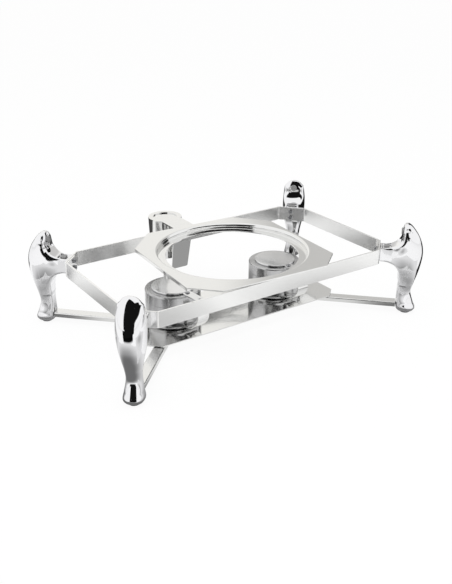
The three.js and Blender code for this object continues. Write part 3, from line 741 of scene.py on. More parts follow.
def close_tree(
    tree: GeometryNodeTree, shape: NodeSocket, material: NodeSocket
) -> None:
    """Ends a tree in real geometry with its material.

    Args:
        tree: The tree.
        shape: The geometry that it made.
        material: The material's socket.
    """
    real = add_node(tree, "GeometryNodeRealizeInstances", {"Geometry": shape}).outputs["Geometry"]
    dressed = add_node(tree, "GeometryNodeSetMaterial", {"Geometry": real, "Material": material})
    add_node(tree, "NodeGroupOutput", {"Geometry": dressed.outputs["Geometry"]})


def strip_tree() -> GeometryNodeTree:
    """Makes the tree that bends a flat strip with eased edges along a path.

    Returns:
        The tree, whose inputs are the strip's height, thickness, edge and bend radius.
    """
    tree = new_tree(
        "strip_along_path",
        [
            *((label, "NodeSocketFloat") for label in STRIP_SIZES),
            ("Bend Steps", "NodeSocketInt"),
            ("Material", "NodeSocketMaterial"),
        ],
    )
    given = add_node(tree, "NodeGroupInput").outputs
    path = add_node(tree, "GeometryNodeMeshToCurve", {"Mesh": given["Geometry"]}).outputs["Curve"]
    bent = add_node(
        tree,
        "GeometryNodeFilletCurve",
        {"Curve": path, "Count": given["Bend Steps"], "Radius": given["Bend Radius"], "Limit Radius": True},
        mode="POLY",
    ).outputs["Curve"]
    upright = add_node(tree, "GeometryNodeSetCurveNormal", {"Curve": bent}, mode="Z_UP").outputs["Curve"]
    section = add_node(
        tree,
        "GeometryNodeCurvePrimitiveQuadrilateral",
        {"Width": given["Thickness"], "Height": given["Height"]},
        mode="RECTANGLE",
    ).outputs["Curve"]
    eased = add_node(
        tree,
        "GeometryNodeFilletCurve",
        {"Curve": section, "Count": 3, "Radius": given["Edge"], "Limit Radius": True},
        mode="POLY",
    ).outputs["Curve"]
    solid = add_node(
        tree, "GeometryNodeCurveToMesh", {"Curve": upright, "Profile Curve": eased, "Fill Caps": True}
    ).outputs["Mesh"]
    close_tree(tree, solid, given["Material"])
    return tree


def fastener_tree() -> GeometryNodeTree:
    """Makes the tree that sets one fastener on every point, along the point's own axis.

    Returns:
        The tree, whose inputs are the fastener and its material.
    """
    tree = new_tree(
        "fasteners_on_points", [("Fastener", "NodeSocketObject"), ("Material", "NodeSocketMaterial")]
    )
    given = add_node(tree, "NodeGroupInput").outputs
    pattern = add_node(
        tree, "GeometryNodeObjectInfo", {"Object": given["Fastener"]}, transform_space="ORIGINAL"
    ).outputs["Geometry"]
    axis = add_node(
        tree, "GeometryNodeInputNamedAttribute", {"Name": "axis"}, data_type="FLOAT_VECTOR"
    ).outputs["Attribute"]
    aimed = add_node(
        tree, "FunctionNodeAlignRotationToVector", {"Vector": axis}, axis="X"
    ).outputs["Rotation"]
    placed = add_node(
        tree,
        "GeometryNodeInstanceOnPoints",
        {"Points": given["Geometry"], "Instance": pattern, "Rotation": aimed},
    ).outputs["Instances"]
    close_tree(tree, placed, given["Material"])
    return tree


@dataclass
class Workshop:
    """Shared Geometry Nodes trees and the bench that they work on."""

    bench: Bench
    strip: GeometryNodeTree = field(default_factory=strip_tree)
    fastener: GeometryNodeTree = field(default_factory=fastener_tree)
    fastener_edge: float = 0.25

    def run(
        self, made: Object, tree: GeometryNodeTree, values: dict[str, object]
    ) -> None:
        """Runs a tree on an object and keeps the result as plain mesh.

        Args:
            made: The object that holds the path or points.
            tree: The tree.
            values: Its inputs by name.
        """
        modifier = made.modifiers.new(tree.name, "NODES")
        modifier.node_group = tree
        for item in tree.interface.items_tree:
            if item.in_out == "INPUT" and item.name in values:
                modifier[item.identifier] = values[item.name]
        self.bench.bake(made)

    def strip_piece(
        self,
        name: str,
        path: Sequence[Point2],
        sizes: tuple[float, float, float, float],
        finish: Finish,
        place: Matrix,
        steps: int = 8,
    ) -> Object:
        """Bends a strip on edge along a flat path.

        Args:
            name: The piece's name.
            path: The strip's middle line.
            sizes: Height, thickness, edge rounding and bend radius.
            finish: What it is made of.
            place: Where the path's own axes lie, in metres about the frame's middle.
            steps: Straight pieces in each bend.

        Returns:
            The finished strip.
        """
        spots = [(x * MM, y * MM, 0.0) for x, y in path]
        links = [(i, i + 1) for i in range(len(path) - 1)]
        made = new_object(name, new_mesh(name, spots, edges=links))
        values = {label: size * MM for label, size in zip(STRIP_SIZES, sizes)}
        self.run(made, self.strip, {**values, "Bend Steps": steps, "Material": self.bench.coat(finish)})
        made.data.transform(Matrix.Translation(self.bench.origin) @ place)
        self.bench.smooth(made)
        return made

    def fasteners(
        self, name: str, pattern: Shape, spots: Sequence[tuple[Point3, Point3]], finish: Finish
    ) -> Object:
        """Sets one pattern at each spot, with its X axis along the spot's axis.

        Args:
            name: The piece's name.
            pattern: One fastener about its own origin, along X.
            spots: Place and axis of each, in millimetres about the frame's middle.
            finish: What they are made of.

        Returns:
            All of them as one piece.
        """
        still = Bench(Vector((0, 0, 0)), self.bench.coats)
        template = still.piece(f"{name}_pattern", pattern, finish, self.fastener_edge)
        mesh = new_mesh(name, [tuple(c * MM for c in place) for place, _ in spots])
        axes = mesh.attributes.new("axis", "FLOAT_VECTOR", "POINT")
        axes.data.foreach_set("vector", [c for _, axis in spots for c in axis])
        made = new_object(name, mesh)
        self.run(made, self.fastener, {"Fastener": template, "Material": self.bench.coat(finish)})
        made.data.transform(Matrix.Translation(self.bench.origin))
        self.bench.smooth(made)
        still.discard(template)
        return made


# The stand's own sizes, shared by its sub-assemblies


@dataclass(frozen=True)
class FrameSizes:
    """The strip frame that everything hangs on, and the gap left between neighbouring pieces."""

    half_length: float = 250.0
    half_width: float = 141.0
    chamfer: float = 34.5
    thickness: float = 3.0
    height: float = 26.0
    top: float = 121.0
    gap: float = 0.3

    @property
    def corner_face(self) -> float:
        """Reach of the cut corner's outer face along the corner's diagonal."""
        return -self.chamfer / ROOT_2

    @property
    def arm_start(self) -> float:
        """Reach of a leg's arm, just off the strip."""
        return self.corner_face + self.gap


FRAME = FrameSizes()
CORNERS: dict[str, tuple[int, int]] = {"front": (-1, -1), "right": (1, -1), "back": (1, 1), "left": (-1, 1)}


def corner_angle(corner: str) -> float:
    """Angle of a corner's diagonal, in degrees."""
    x, y = CORNERS[corner]
    return math.degrees(math.atan2(y, x))


def corner_shape(shape: Shape, corner: str) -> Shape:
    """Takes a shape from the diagonal's own axes to its corner."""
    x, y = CORNERS[corner]
    return shape.turned(corner_angle(corner), x * FRAME.half_length, y * FRAME.half_width)


def corner_point(corner: str, reach: float, height: float) -> Point3:
    """Gives a point on a corner's diagonal.

    Args:
        corner: The corner's name.
        reach: Distance from the frame's corner, outwards.
        height: Height over the floor.

    Returns:
        The point, in millimetres about the frame's middle.
    """
    x, y = CORNERS[corner]
    return (x * FRAME.half_length + x * reach / ROOT_2, y * FRAME.half_width + y * reach / ROOT_2, height)


def outward(corner: str) -> Point3:
    """Direction of a corner's diagonal, outwards."""
    x, y = CORNERS[corner]
    return (x / ROOT_2, y / ROOT_2, 0.0)


# Cast legs


@dataclass
class CastLegs:
    """Four cast legs, worked out as one smooth field and set at the corners.

    Reach runs outwards along the corner's diagonal, from the corner of the frame.
    """

    # Height, inner and outer reach, half width, and how far the section runs past the inner face
    stations: tuple[tuple[float, float, float, float, float], ...] = (
        (1.5, 17, 38, 11, 1),
        (5.5, 12.6, 42, 14.6, 1.5),
        (10, 10, 43.8, 16.2, 2),
        (20, 10, 39.8, 14.3, 2),
        (38, 10, 34.4, 11.8, 2),
        (55, 10, 37.4, 12.9, 2),
        (72, 9, 42.2, 16.2, 2.5),
        (88, 5, 45.8, 19.3, 3.5),
        (108, 1, 48.2, 21.4, 5),
        (124, 4, 46.5, 21.4, 6),
        (138, 9.8, 41.3, 20.3, 6),
        (149, 11, 34.4, 18.2, 5),
        (157, 12.6, 28, 14, 3),
        (161.5, 14.6, 22.8, 8.4, 1.5),
        (163, 16, 19.4, 3.2, 0.5),
    )
    # Side view, as reach and height: the inner face of the head, the cradle and the arm's top
    inner_line: tuple[Point2, ...] = (
        (14.4, 176), (13.0, 160), (11.8, 153), (11.0, 147), (9.8, 138), (7.4, 132), (3.6, 127.2),
        (-1.5, 123.9), (-7.0, 121.7), (-14.0, 120.4),
    )
    # The arm's underside, the inner face of the shank and the foot
    under_line: tuple[Point2, ...] = (
        (-14.0, 95.0), (-4.1, 92.0), (1.6, 88.8), (6.0, 84.0), (8.7, 77.5), (9.7, 70), (10.0, 60),
        (10.0, 45), (10.0, 30), (10.0, 14), (11.0, 7), (13.2, 3.2),
    )
    foot_edge: Point2 = (16.5, 1.5)
    outside: float = 60.0
    arm_end_heights: Point2 = (96.0, 120.0)
    section_power: float = 2.3
    # The arm's web: it widens outwards by the flare and keeps only a share of its width at its foot
    web_half_width: float = 13.0
    web_flare: float = 2.4
    web_flare_reach: Point2 = (-24.0, 6.0)
    web_foot_share: float = 0.6
    web_foot_heights: Point2 = (58.0, 92.0)
    web_heights: Point2 = (56.0, 150.0)
    web_end: float = 20.0
    web_fillet: float = 7.0
    # The inner face bulges towards the frame's middle, more so on the head
    bulge: float = 0.8
    head_bulge: float = 1.7
    bulge_half_width: float = 20.0
    bulge_heights: Point2 = (121.0, 134.0)
    bulge_reach: Point2 = (-20.0, -2.0)
    # Rounding of the edges round the inner face, from the arm's end to the head
    arm_rounding: float = 1.0
    head_rounding: float = 3.2
    rounding_reach: Point2 = (-23.0, -8.0)
    pocket_centre: float = 11.0
    pocket_half: Point2 = (7.5, 10.0)
    pocket_floor: float = 118.77
    pocket_corner: float = 1.5
    pocket_lip: float = 0.9
    # The net of faces: its step, the box that it is laid in, and how its points settle on the surface
    step: float = 0.8
    low: Point3 = (-26.0, -24.0, -0.6)
    high: Point3 = (52.0, 24.0, 165.0)
    settle_rounds: int = 6
    settle_share: float = 0.4
    slope_step: float = 0.05
    normal_step: float = 0.25
    # The grid on which the side view is measured once
    grid_start: Point2 = (-30.0, -2.0)
    grid_end: Point2 = (62.0, 178.0)
    grid_step: float = 0.5
    curves: np.ndarray = field(default_factory=lambda: np.zeros((0, 5)))
    edge_line: np.ndarray = field(default_factory=lambda: np.zeros((0, 2)))
    edge_grid: np.ndarray = field(default_factory=lambda: np.zeros((0, 0)))

    def prepare(self) -> None:
        """Draws the curves through the stations and measures the side view on a grid."""
        self.curves = spline_through(self.stations, 16)
        start = FRAME.arm_start
        self.edge_line = np.vstack(
            [
                [(self.outside, self.inner_line[0][1])],
                spline_through(self.inner_line, 8),
                [(start, height) for height in reversed(self.arm_end_heights)],
                spline_through(self.under_line, 8),
                [self.foot_edge, (self.outside, self.foot_edge[1])],
            ]
        )
        axes = [np.arange(self.grid_start[k], self.grid_end[k], self.grid_step) for k in range(2)]
        spots = np.stack(np.meshgrid(*axes, indexing="ij"), axis=-1)
        self.edge_grid = self.outline_distance(spots.reshape(-1, 2)).reshape(spots.shape[:2])

    def outline_distance(self, spots: np.ndarray) -> np.ndarray:
        """Measures the distance from the side view's outline.

        Args:
            spots: Points of reach and height.

        Returns:
            The distance of each, negative inside.
        """
        nearest = np.full(len(spots), 1e9)
        inside = np.zeros(len(spots), bool)
        starts = self.edge_line
        ends = np.roll(self.edge_line, -1, axis=0)
        for a, b in zip(starts, ends):
            along = b - a
            offset = spots - a
            part = np.clip(offset @ along / max(along @ along, 1e-12), 0, 1)
            nearest = np.minimum(nearest, np.linalg.norm(offset - part[:, None] * along, axis=1))
            crosses = (a[1] > spots[:, 1]) != (b[1] > spots[:, 1])
            if abs(along[1]) > 1e-12:
                inside ^= crosses & (spots[:, 0] < a[0] + along[0] * (spots[:, 1] - a[1]) / along[1])
        return np.where(inside, -nearest, nearest)

    def side_view(self, reach: np.ndarray, height: np.ndarray) -> np.ndarray:
        """Looks the side view's distance up on its grid.

        Args:
            reach: Reach of each point.
            height: Height of each point.

        Returns:
            The distance of each, negative inside.
        """
        grid = self.edge_grid
        across = np.clip((reach - self.grid_start[0]) / self.grid_step, 0, grid.shape[0] - 1.001)
        up = np.clip((height - self.grid_start[1]) / self.grid_step, 0, grid.shape[1] - 1.001)
        i, j = across.astype(int), up.astype(int)
        u, v = across - i, up - j
        return (
            grid[i, j] * (1 - u) * (1 - v)
            + grid[i + 1, j] * u * (1 - v)
            + grid[i, j + 1] * (1 - u) * v
            + grid[i + 1, j + 1] * u * v
        )

    @staticmethod
    def blend(first: np.ndarray, second: np.ndarray, width: np.ndarray | float, sign: float) -> np.ndarray:
        """Joins two fields softly.

        Args:
            first: One field.
            second: The other field.
            width: How wide the joint is, in millimetres.
            sign: Plus one to keep what either holds, minus one to keep what both hold.

        Returns:
            The joined field.
        """
        near = np.clip(width - np.abs(first - second), 0, None)
        return sign * (np.minimum(sign * first, sign * second) - near * near / (4 * width))

    def column(self, spots: Spots) -> np.ndarray:
        """Measures the leg's upright body by its stations.

        Args:
            spots: Reach, across and height of the points.

        Returns:
            About the distance in millimetres, negative inside.
        """
        reach, across, height = spots
        top = self.stations[-1][0]
        level = np.clip(height, self.stations[0][0], top)
        inner, outer, half, past = (
            np.interp(level, self.curves[:, 0], self.curves[:, k]) for k in range(1, 5)
        )
        middle = (inner - past + outer) / 2
        depth = (outer - inner + past) / 2
        power = self.section_power
        size = (np.abs((reach - middle) / depth) ** power + np.abs(across / half) ** power) ** (1 / power)
        return np.maximum((size - 1) * np.minimum(depth, half), height - top)

    def web(self, spots: Spots) -> np.ndarray:
        """Measures the arm's web, whose upper and lower edges the side view cuts.

        Args:
            spots: Reach, across and height of the points.

        Returns:
            About the distance in millimetres, negative inside.
        """
        reach, across, height = spots
        share = self.web_foot_share
        wide = self.web_half_width + self.web_flare * smooth_steps(reach, *self.web_flare_reach)
        wide = wide * (share + (1 - share) * smooth_steps(height, *self.web_foot_heights))
        side = np.maximum(np.abs(across) - wide, reach - self.web_end)
        return np.maximum(side, np.maximum(self.web_heights[0] - height, height - self.web_heights[1]))

    def pocket(self, spots: Spots) -> np.ndarray:
        """Measures the recess that takes the arm's pad.

        Args:
            spots: Reach, across and height of the points.

        Returns:
            About the distance in millimetres, negative inside.
        """
        reach, across, height = spots
        centre = FRAME.arm_start + self.pocket_centre
        long, wide = self.pocket_half
        walls = np.maximum(np.abs(reach - centre) - long, np.abs(across) - wide)
        return self.blend(walls, self.pocket_floor - height, self.pocket_corner, -1.0)

    def field_at(self, spots: np.ndarray) -> np.ndarray:
        """Measures how far points lie outside the leg.

        Args:
            spots: Reach, across and height of each point.

        Returns:
            About the distance in millimetres, negative inside.
        """
        reach, across, height = parts = tuple(np.moveaxis(spots, -1, 0))
        body = self.blend(self.column(parts), self.web(parts), self.web_fillet, 1.0)
        bulge = self.bulge + self.head_bulge * smooth_steps(height, *self.bulge_heights)
        bulge = bulge * (across / self.bulge_half_width) ** 2 * smooth_steps(reach, *self.bulge_reach)
        side = self.side_view(reach - bulge, height)
        rounding = self.arm_rounding + self.head_rounding * smooth_steps(reach, *self.rounding_reach)
        whole = self.blend(body, side, rounding, -1.0)
        return self.blend(whole, -self.pocket(parts), self.pocket_lip, -1.0)

    def slope_at(self, spots: np.ndarray, reach: float) -> np.ndarray:
        """Measures the field's slope.

        Args:
            spots: Reach, across and height of each point.
            reach: The small step that is taken each way.

        Returns:
            The slope at each point, one to a row.
        """
        parts = []
        for axis in range(3):
            step = np.zeros(3)
            step[axis] = reach
            parts.append((self.field_at(spots + step) - self.field_at(spots - step)) / (2 * reach))
        return np.stack(parts, axis=-1)

    def net_points(self, value: np.ndarray) -> tuple[np.ndarray, np.ndarray]:
        """Sets one point in each cell of the grid that the surface runs through.

        Args:
            value: The field at the grid's crossings.

        Returns:
            The points in millimetres, and the number of each cell's point, minus one where it has none.
        """
        sign = value < 0
        shape = tuple(n - 1 for n in value.shape)
        total = np.zeros(shape + (3,))
        count = np.zeros(shape)
        edges = [(a, axis) for a in np.ndindex(2, 2, 2) for axis in range(3) if not a[axis]]
        for a, axis in edges:
            b = tuple(c + (1 if k == axis else 0) for k, c in enumerate(a))
            pick_a = tuple(slice(a[k], a[k] + shape[k]) for k in range(3))
            pick_b = tuple(slice(b[k], b[k] + shape[k]) for k in range(3))
            change = sign[pick_a] != sign[pick_b]
            va, vb = value[pick_a], value[pick_b]
            part = np.where(change, va / np.where(change, va - vb, 1.0), 0.0)
            cross = np.broadcast_to(np.array(a, float), shape + (3,)).copy()
            cross[..., axis] += part
            total += cross * change[..., None]
            count += change
        used = count > 0
        number = np.full(shape, -1)
        number[used] = np.arange(int(used.sum()))
        points = (np.argwhere(used) + total[used] / count[used][:, None]) * self.step + np.array(self.low)
        return points, number

    @staticmethod
    def net_faces(sign: np.ndarray, number: np.ndarray) -> np.ndarray:
        """Joins the points of neighbouring cells wherever the surface runs between two crossings.

        Args:
            sign: Whether each crossing of the grid lies inside.
            number: The number of each cell's point.

        Returns:
            Faces of four points, one to a row, that point outwards.
        """
        faces = []
        for axis in range(3):
            u, v = [k for k in range(3) if k != axis]
            edge_shape = list(sign.shape)
            edge_shape[axis] -= 1
            lower = tuple(slice(0, edge_shape[k]) for k in range(3))
            upper = tuple(slice(1, None) if k == axis else slice(0, edge_shape[k]) for k in range(3))
            spots = np.argwhere(sign[lower] != sign[upper])
            inner = (spots[:, u] > 0) & (spots[:, v] > 0)
            inner &= (spots[:, u] < number.shape[u]) & (spots[:, v] < number.shape[v])
            spots = spots[inner]
            unit = np.eye(3, dtype=int)
            around = [du * unit[u] + dv * unit[v] for du, dv in ((-1, -1), (0, -1), (0, 0), (-1, 0))]
            quad = np.stack([number[tuple((spots + step).T)] for step in around], axis=1)
            faces_out = sign[tuple(spots.T)] ^ (axis == 1)
            quad[~faces_out] = quad[~faces_out][:, ::-1]
            faces.append(quad)
        return np.vstack(faces)

    def skin(self) -> tuple[np.ndarray, np.ndarray, np.ndarray]:
        """Lays a net of four-sided faces on the leg's surface.

        Returns:
            Vertices in millimetres, faces, and the surface's direction at each vertex.
        """
        axes = [np.arange(self.low[k], self.high[k] + self.step, self.step) for k in range(3)]
        value = self.field_at(np.stack(np.meshgrid(*axes, indexing="ij"), axis=-1))
        points, number = self.net_points(value)
        for _ in range(self.settle_rounds):
            slope = self.slope_at(points, self.slope_step)
            size = np.maximum((slope * slope).sum(axis=1), 0.05)
            move = slope * (self.field_at(points) / size)[:, None]
            length = np.maximum(np.linalg.norm(move, axis=1), 1e-9)
            points -= move * np.minimum(1.0, self.settle_share * self.step / length)[:, None]
        slope = self.slope_at(points, self.normal_step)
        normals = slope / np.maximum(np.linalg.norm(slope, axis=1), 1e-9)[:, None]
        return points, self.net_faces(value < 0, number), normals

    def build(self, shop: Workshop) -> None:
        """Makes the four legs.

        Args:
            shop: The workshop.
        """
        self.prepare()
        points, faces, normals = self.skin()
        base = Shape([tuple(p) for p in points.tolist()], [tuple(f) for f in faces.tolist()])
        for corner in CORNERS:
            placed = corner_shape(base, corner)
            made = shop.bench.piece(f"cast_leg_{corner}", placed, CAST_CHROME, sharp=math.pi)
            turn = Matrix.Rotation(math.radians(corner_angle(corner)), 3, "Z")
            turned = normals @ np.array(turn).T
            made.data.normals_split_custom_set_from_vertices(turned.tolist())
            shop.bench.settle(made, CAST_CHROME, "stand", [f"leg_{corner}"])


@dataclass
class RubberParts:
    """Pads under the feet and on the arms, and the plugs in the legs' heads."""

    foot_radius: float = 9.0
    foot_height: float = 1.5
    foot_reach: float = 27.5
    arm_pad: Point2 = (9.0, 13.0)
    arm_pad_height: float = 2.8
    arm_pad_corner: float = 2.0
    arm_pad_edge: float = 0.6
    plug_radius: float = 5.8
    plug_height: float = 149.0
    plug_face: float = 10.8
    plug_proud: float = 1.4
    plug_depth: float = 4.0

    def foot(self) -> Shape:
        """Turns the pad that stands under a foot."""
        rim = fillet(oblong(0, 0, self.foot_radius, self.foot_height), [0, 0.7, 0.4, 0], 4)
        return lathe(rim, 64).shifted(self.foot_reach)

    def arm(self) -> Shape:
        """Cuts the pad that lies in an arm's recess.

        Returns:
            The pad on the diagonal's own axes.
        """
        long, wide = self.arm_pad[0] / 2, self.arm_pad[1] / 2
        outline = fillet(oblong(-long, -wide, long, wide), self.arm_pad_corner, 5)
        floor = CastLegs.pocket_floor
        pad = prism(outline, floor, floor + self.arm_pad_height)
        return pad.shifted(FRAME.arm_start + CastLegs.pocket_centre)

    def plug(self) -> Shape:
        """Turns the plug that sits in a head's inner face, its crown towards the frame's middle."""
        crown = fillet(
            oblong(0, -self.plug_depth, self.plug_radius, self.plug_proud), [0, 0.3, 0.9, 0], 4
        )
        return lathe(crown, 48).moved(
            lambda p: np.stack([self.plug_face - p[:, 2], p[:, 1], p[:, 0] + self.plug_height], axis=1)
        )

    def build(self, shop: Workshop) -> None:
        """Makes all twelve rubber parts.

        Args:
            shop: The workshop.
        """
        parts = (
            ("rubber_foot", self.foot(), BLACK_RUBBER, "foot_pad", 0.0),
            ("rubber_arm_pad", self.arm(), GREY_RUBBER, "arm_pad", self.arm_pad_edge),
            ("rubber_plug", self.plug(), GREY_RUBBER, "head_plug", 0.0),
        )
        for corner in CORNERS:
            for name, shape, finish, node, edge in parts:
                placed = corner_shape(shape, corner)
                shop.bench.fit(f"{name}_{corner}", placed, finish, "stand", [f"{node}_{corner}"], edge)


@dataclass
class StripFrame:
    """Two long and two short bars of flat strip, bent at the corners."""

    bend_radius: float = 4.5
    edge: float = 0.5
    tab_length: float = 34.0

    def build(self, shop: Workshop) -> None:
        """Bends the four bars.

        Args:
            shop: The workshop.
        """
        half = FRAME.thickness / 2
        slant = half / ROOT_2
        a, b, c = FRAME.half_length, FRAME.half_width, FRAME.chamfer
        ease = half * (ROOT_2 - 1)
        level = Matrix.Translation((0, 0, (FRAME.top - FRAME.height / 2) * MM))
        sizes = (FRAME.height, FRAME.thickness, self.edge, self.bend_radius)
        long_path = [
            (-a + slant, -b + c + slant), (-a + c + ease, -b + half), (a - c - ease, -b + half),
            (a - slant, -b + c + slant),
        ]
        inner = (FRAME.thickness + FRAME.gap) * ROOT_2
        bend = b - c - inner
        tab = self.tab_length / ROOT_2
        short_path = [
            (a - tab - slant, -bend - tab + slant), (a - half, -bend + ease), (a - half, bend - ease),
            (a - tab - slant, bend + tab - slant),
        ]
        for kind, path, sides in (
            ("long", long_path, ("front", "back")),
            ("short", short_path, ("right", "left")),
        ):
            for side, turn in zip(sides, (0.0, 180.0)):
                place = level @ Matrix.Rotation(math.radians(turn), 4, "Z")
                made = shop.strip_piece(f"{kind}_strip_{side}", path, sizes, SATIN_STRIP, place)
                shop.bench.settle(made, SATIN_STRIP, "stand", [f"{kind}_bar_{side}"])


@dataclass
class Tray:
    """The polished tray and the four channels that carry it."""

    half_length: float = 192.0
    half_width: float = 71.0
    chamfer: float = 20.0
    corner_radius: float = 1.5
    edge: float = 0.45
    top: float = 20.6
    thickness: float = 2.0
    channel_width: float = 19.0
    channel_depth: float = 8.0
    channel_wall: float = 1.5
    end_inset: Point2 = (0.4, 0.6)
    lap: float = 22.0
    leg_face: float = 10.0

    def sheet(self) -> Shape:
        """Cuts the eight-sided sheet.

        Returns:
            The sheet, level under the tray's top.
        """
        cut = (self.chamfer, self.chamfer)
        outline = fillet(eight_sided(self.half_length, self.half_width, cut, cut), self.corner_radius, 4)
        return prism(outline, self.top - self.thickness, self.top)

    def channel(self) -> Shape:
        """Folds the channel that runs from under the tray to a leg, with its end wall.

        Returns:
            The channel, along X.
        """
        spare = FRAME.half_length - self.half_length + FRAME.half_width - self.half_width
        start = -(spare + self.chamfer) / ROOT_2 - self.lap
        end = self.leg_face - FRAME.gap
        half = self.channel_width / 2
        top = self.top - self.thickness
        low = top - self.channel_depth
        wall = self.channel_wall
        section = fillet(
            [
                (-half, low), (-half + wall, low), (-half + wall, top - wall), (half - wall, top - wall),
                (half - wall, low), (half, low), (half, top), (-half, top),
            ],
            [0.3, 0.3, 0.6, 0.6, 0.3, 0.3, 2.0, 2.0],
            4,
        )
        channel = prism(section, start, end).moved(lambda p: p[:, [2, 0, 1]])
        side = half - self.end_inset[0]
        stop = prism(oblong(end - wall, -side, end, side), low, top - self.end_inset[1])
        return channel.add(stop.points, stop.faces)

    def build(self, shop: Workshop) -> None:
        """Makes the tray and its channels.

        Args:
            shop: The workshop.
        """
        shop.bench.fit("polished_tray", self.sheet(), POLISHED_SHEET, "stand", ["tray"], self.edge)
        channel = self.channel()
        for corner in CORNERS:
            placed = corner_shape(channel, corner)
            shop.bench.fit(f"channel_{corner}", placed, POLISHED_SHEET, "stand", [f"stretcher_{corner}"])


@dataclass
class Screws:
    """Cap screws of the corners and of the channels at the feet."""

    heights: Point2 = (102.0, 114.0)
    head: Point2 = (4.2, 3.0)
    shank: float = 2.4
    length: float = 18.0
    socket: Point2 = (2.0, 1.6)
    foot_height: float = 13.8
    foot_head: Point2 = (2.6, 2.0)
    foot_shank: float = 1.5
    foot_length: float = 9.0
    foot_socket: Point2 = (1.0, 1.0)

    @staticmethod
    def cap_screw(head: Point2, shank: float, length: float, socket: Point2) -> Shape:
        """Makes a screw along X, its head at negative X and its tip at positive X.

        Args:
            head: Radius and height of the head.
            shank: Radius of the shank.
            length: How far the shank reaches.
            socket: Radius and depth of the hexagon socket.

        Returns:
            The screw.
        """
        radius, tall = head
        under = -0.01
        ring = 30
        # Place along X, radius and, for the socket, its six sides
        rows: list[tuple[float, float, int]] = [
            (length, shank, 0), (under, shank, 0), (under, radius, 0), (-tall, radius, 0),
            (-tall, socket[0], 6), (-tall + socket[1], socket[0], 6),
        ]
        points: list[Point3] = []
        for x, size, sides in rows:
            for k in range(ring):
                angle = 2 * math.pi * k / ring
                reach = size
                if sides:
                    part = math.pi / sides
                    reach = size * math.cos(part) / math.cos((angle % (2 * part)) - part)
                points.append((x, reach * math.cos(angle), reach * math.sin(angle)))
        faces: list[tuple[int, ...]] = []
        for row in range(len(rows) - 1):
            for k in range(ring):
                n = (k + 1) % ring
                a, b = row * ring, (row + 1) * ring
                faces.append((a + k, b + k, b + n, a + n))
        faces.append(tuple(range(ring)))
        faces.append(tuple(reversed(range((len(rows) - 1) * ring, len(rows) * ring))))
        return Shape().add(points, faces)

    def build(self, shop: Workshop) -> None:
        """Sets the corner screws and the foot screws.

        Args:
            shop: The workshop.
        """
        inner = FRAME.corner_face - 2 * FRAME.thickness - FRAME.gap
        screw = self.cap_screw(self.head, self.shank, self.length, self.socket)
        spots = [
            (corner_point(corner, inner, height), outward(corner))
            for corner in CORNERS
            for height in self.heights
        ]
        made = shop.fasteners("corner_cap_screws", screw, spots, SCREW_STEEL)
        nodes = [f"corner_screw_{corner}_{level}" for corner in CORNERS for level in ("lower", "upper")]
        shop.bench.settle(made, SCREW_STEEL, "stand", nodes)
        small = self.cap_screw(self.foot_head, self.foot_shank, self.foot_length, self.foot_socket)
        wall = Tray.leg_face - FRAME.gap - Tray.channel_wall
        spots = [(corner_point(corner, wall, self.foot_height), outward(corner)) for corner in CORNERS]
        made = shop.fasteners("foot_cap_screws", small, spots, SCREW_STEEL)
        shop.bench.settle(made, SCREW_STEEL, "stand", [f"foot_screw_{corner}" for corner in CORNERS])

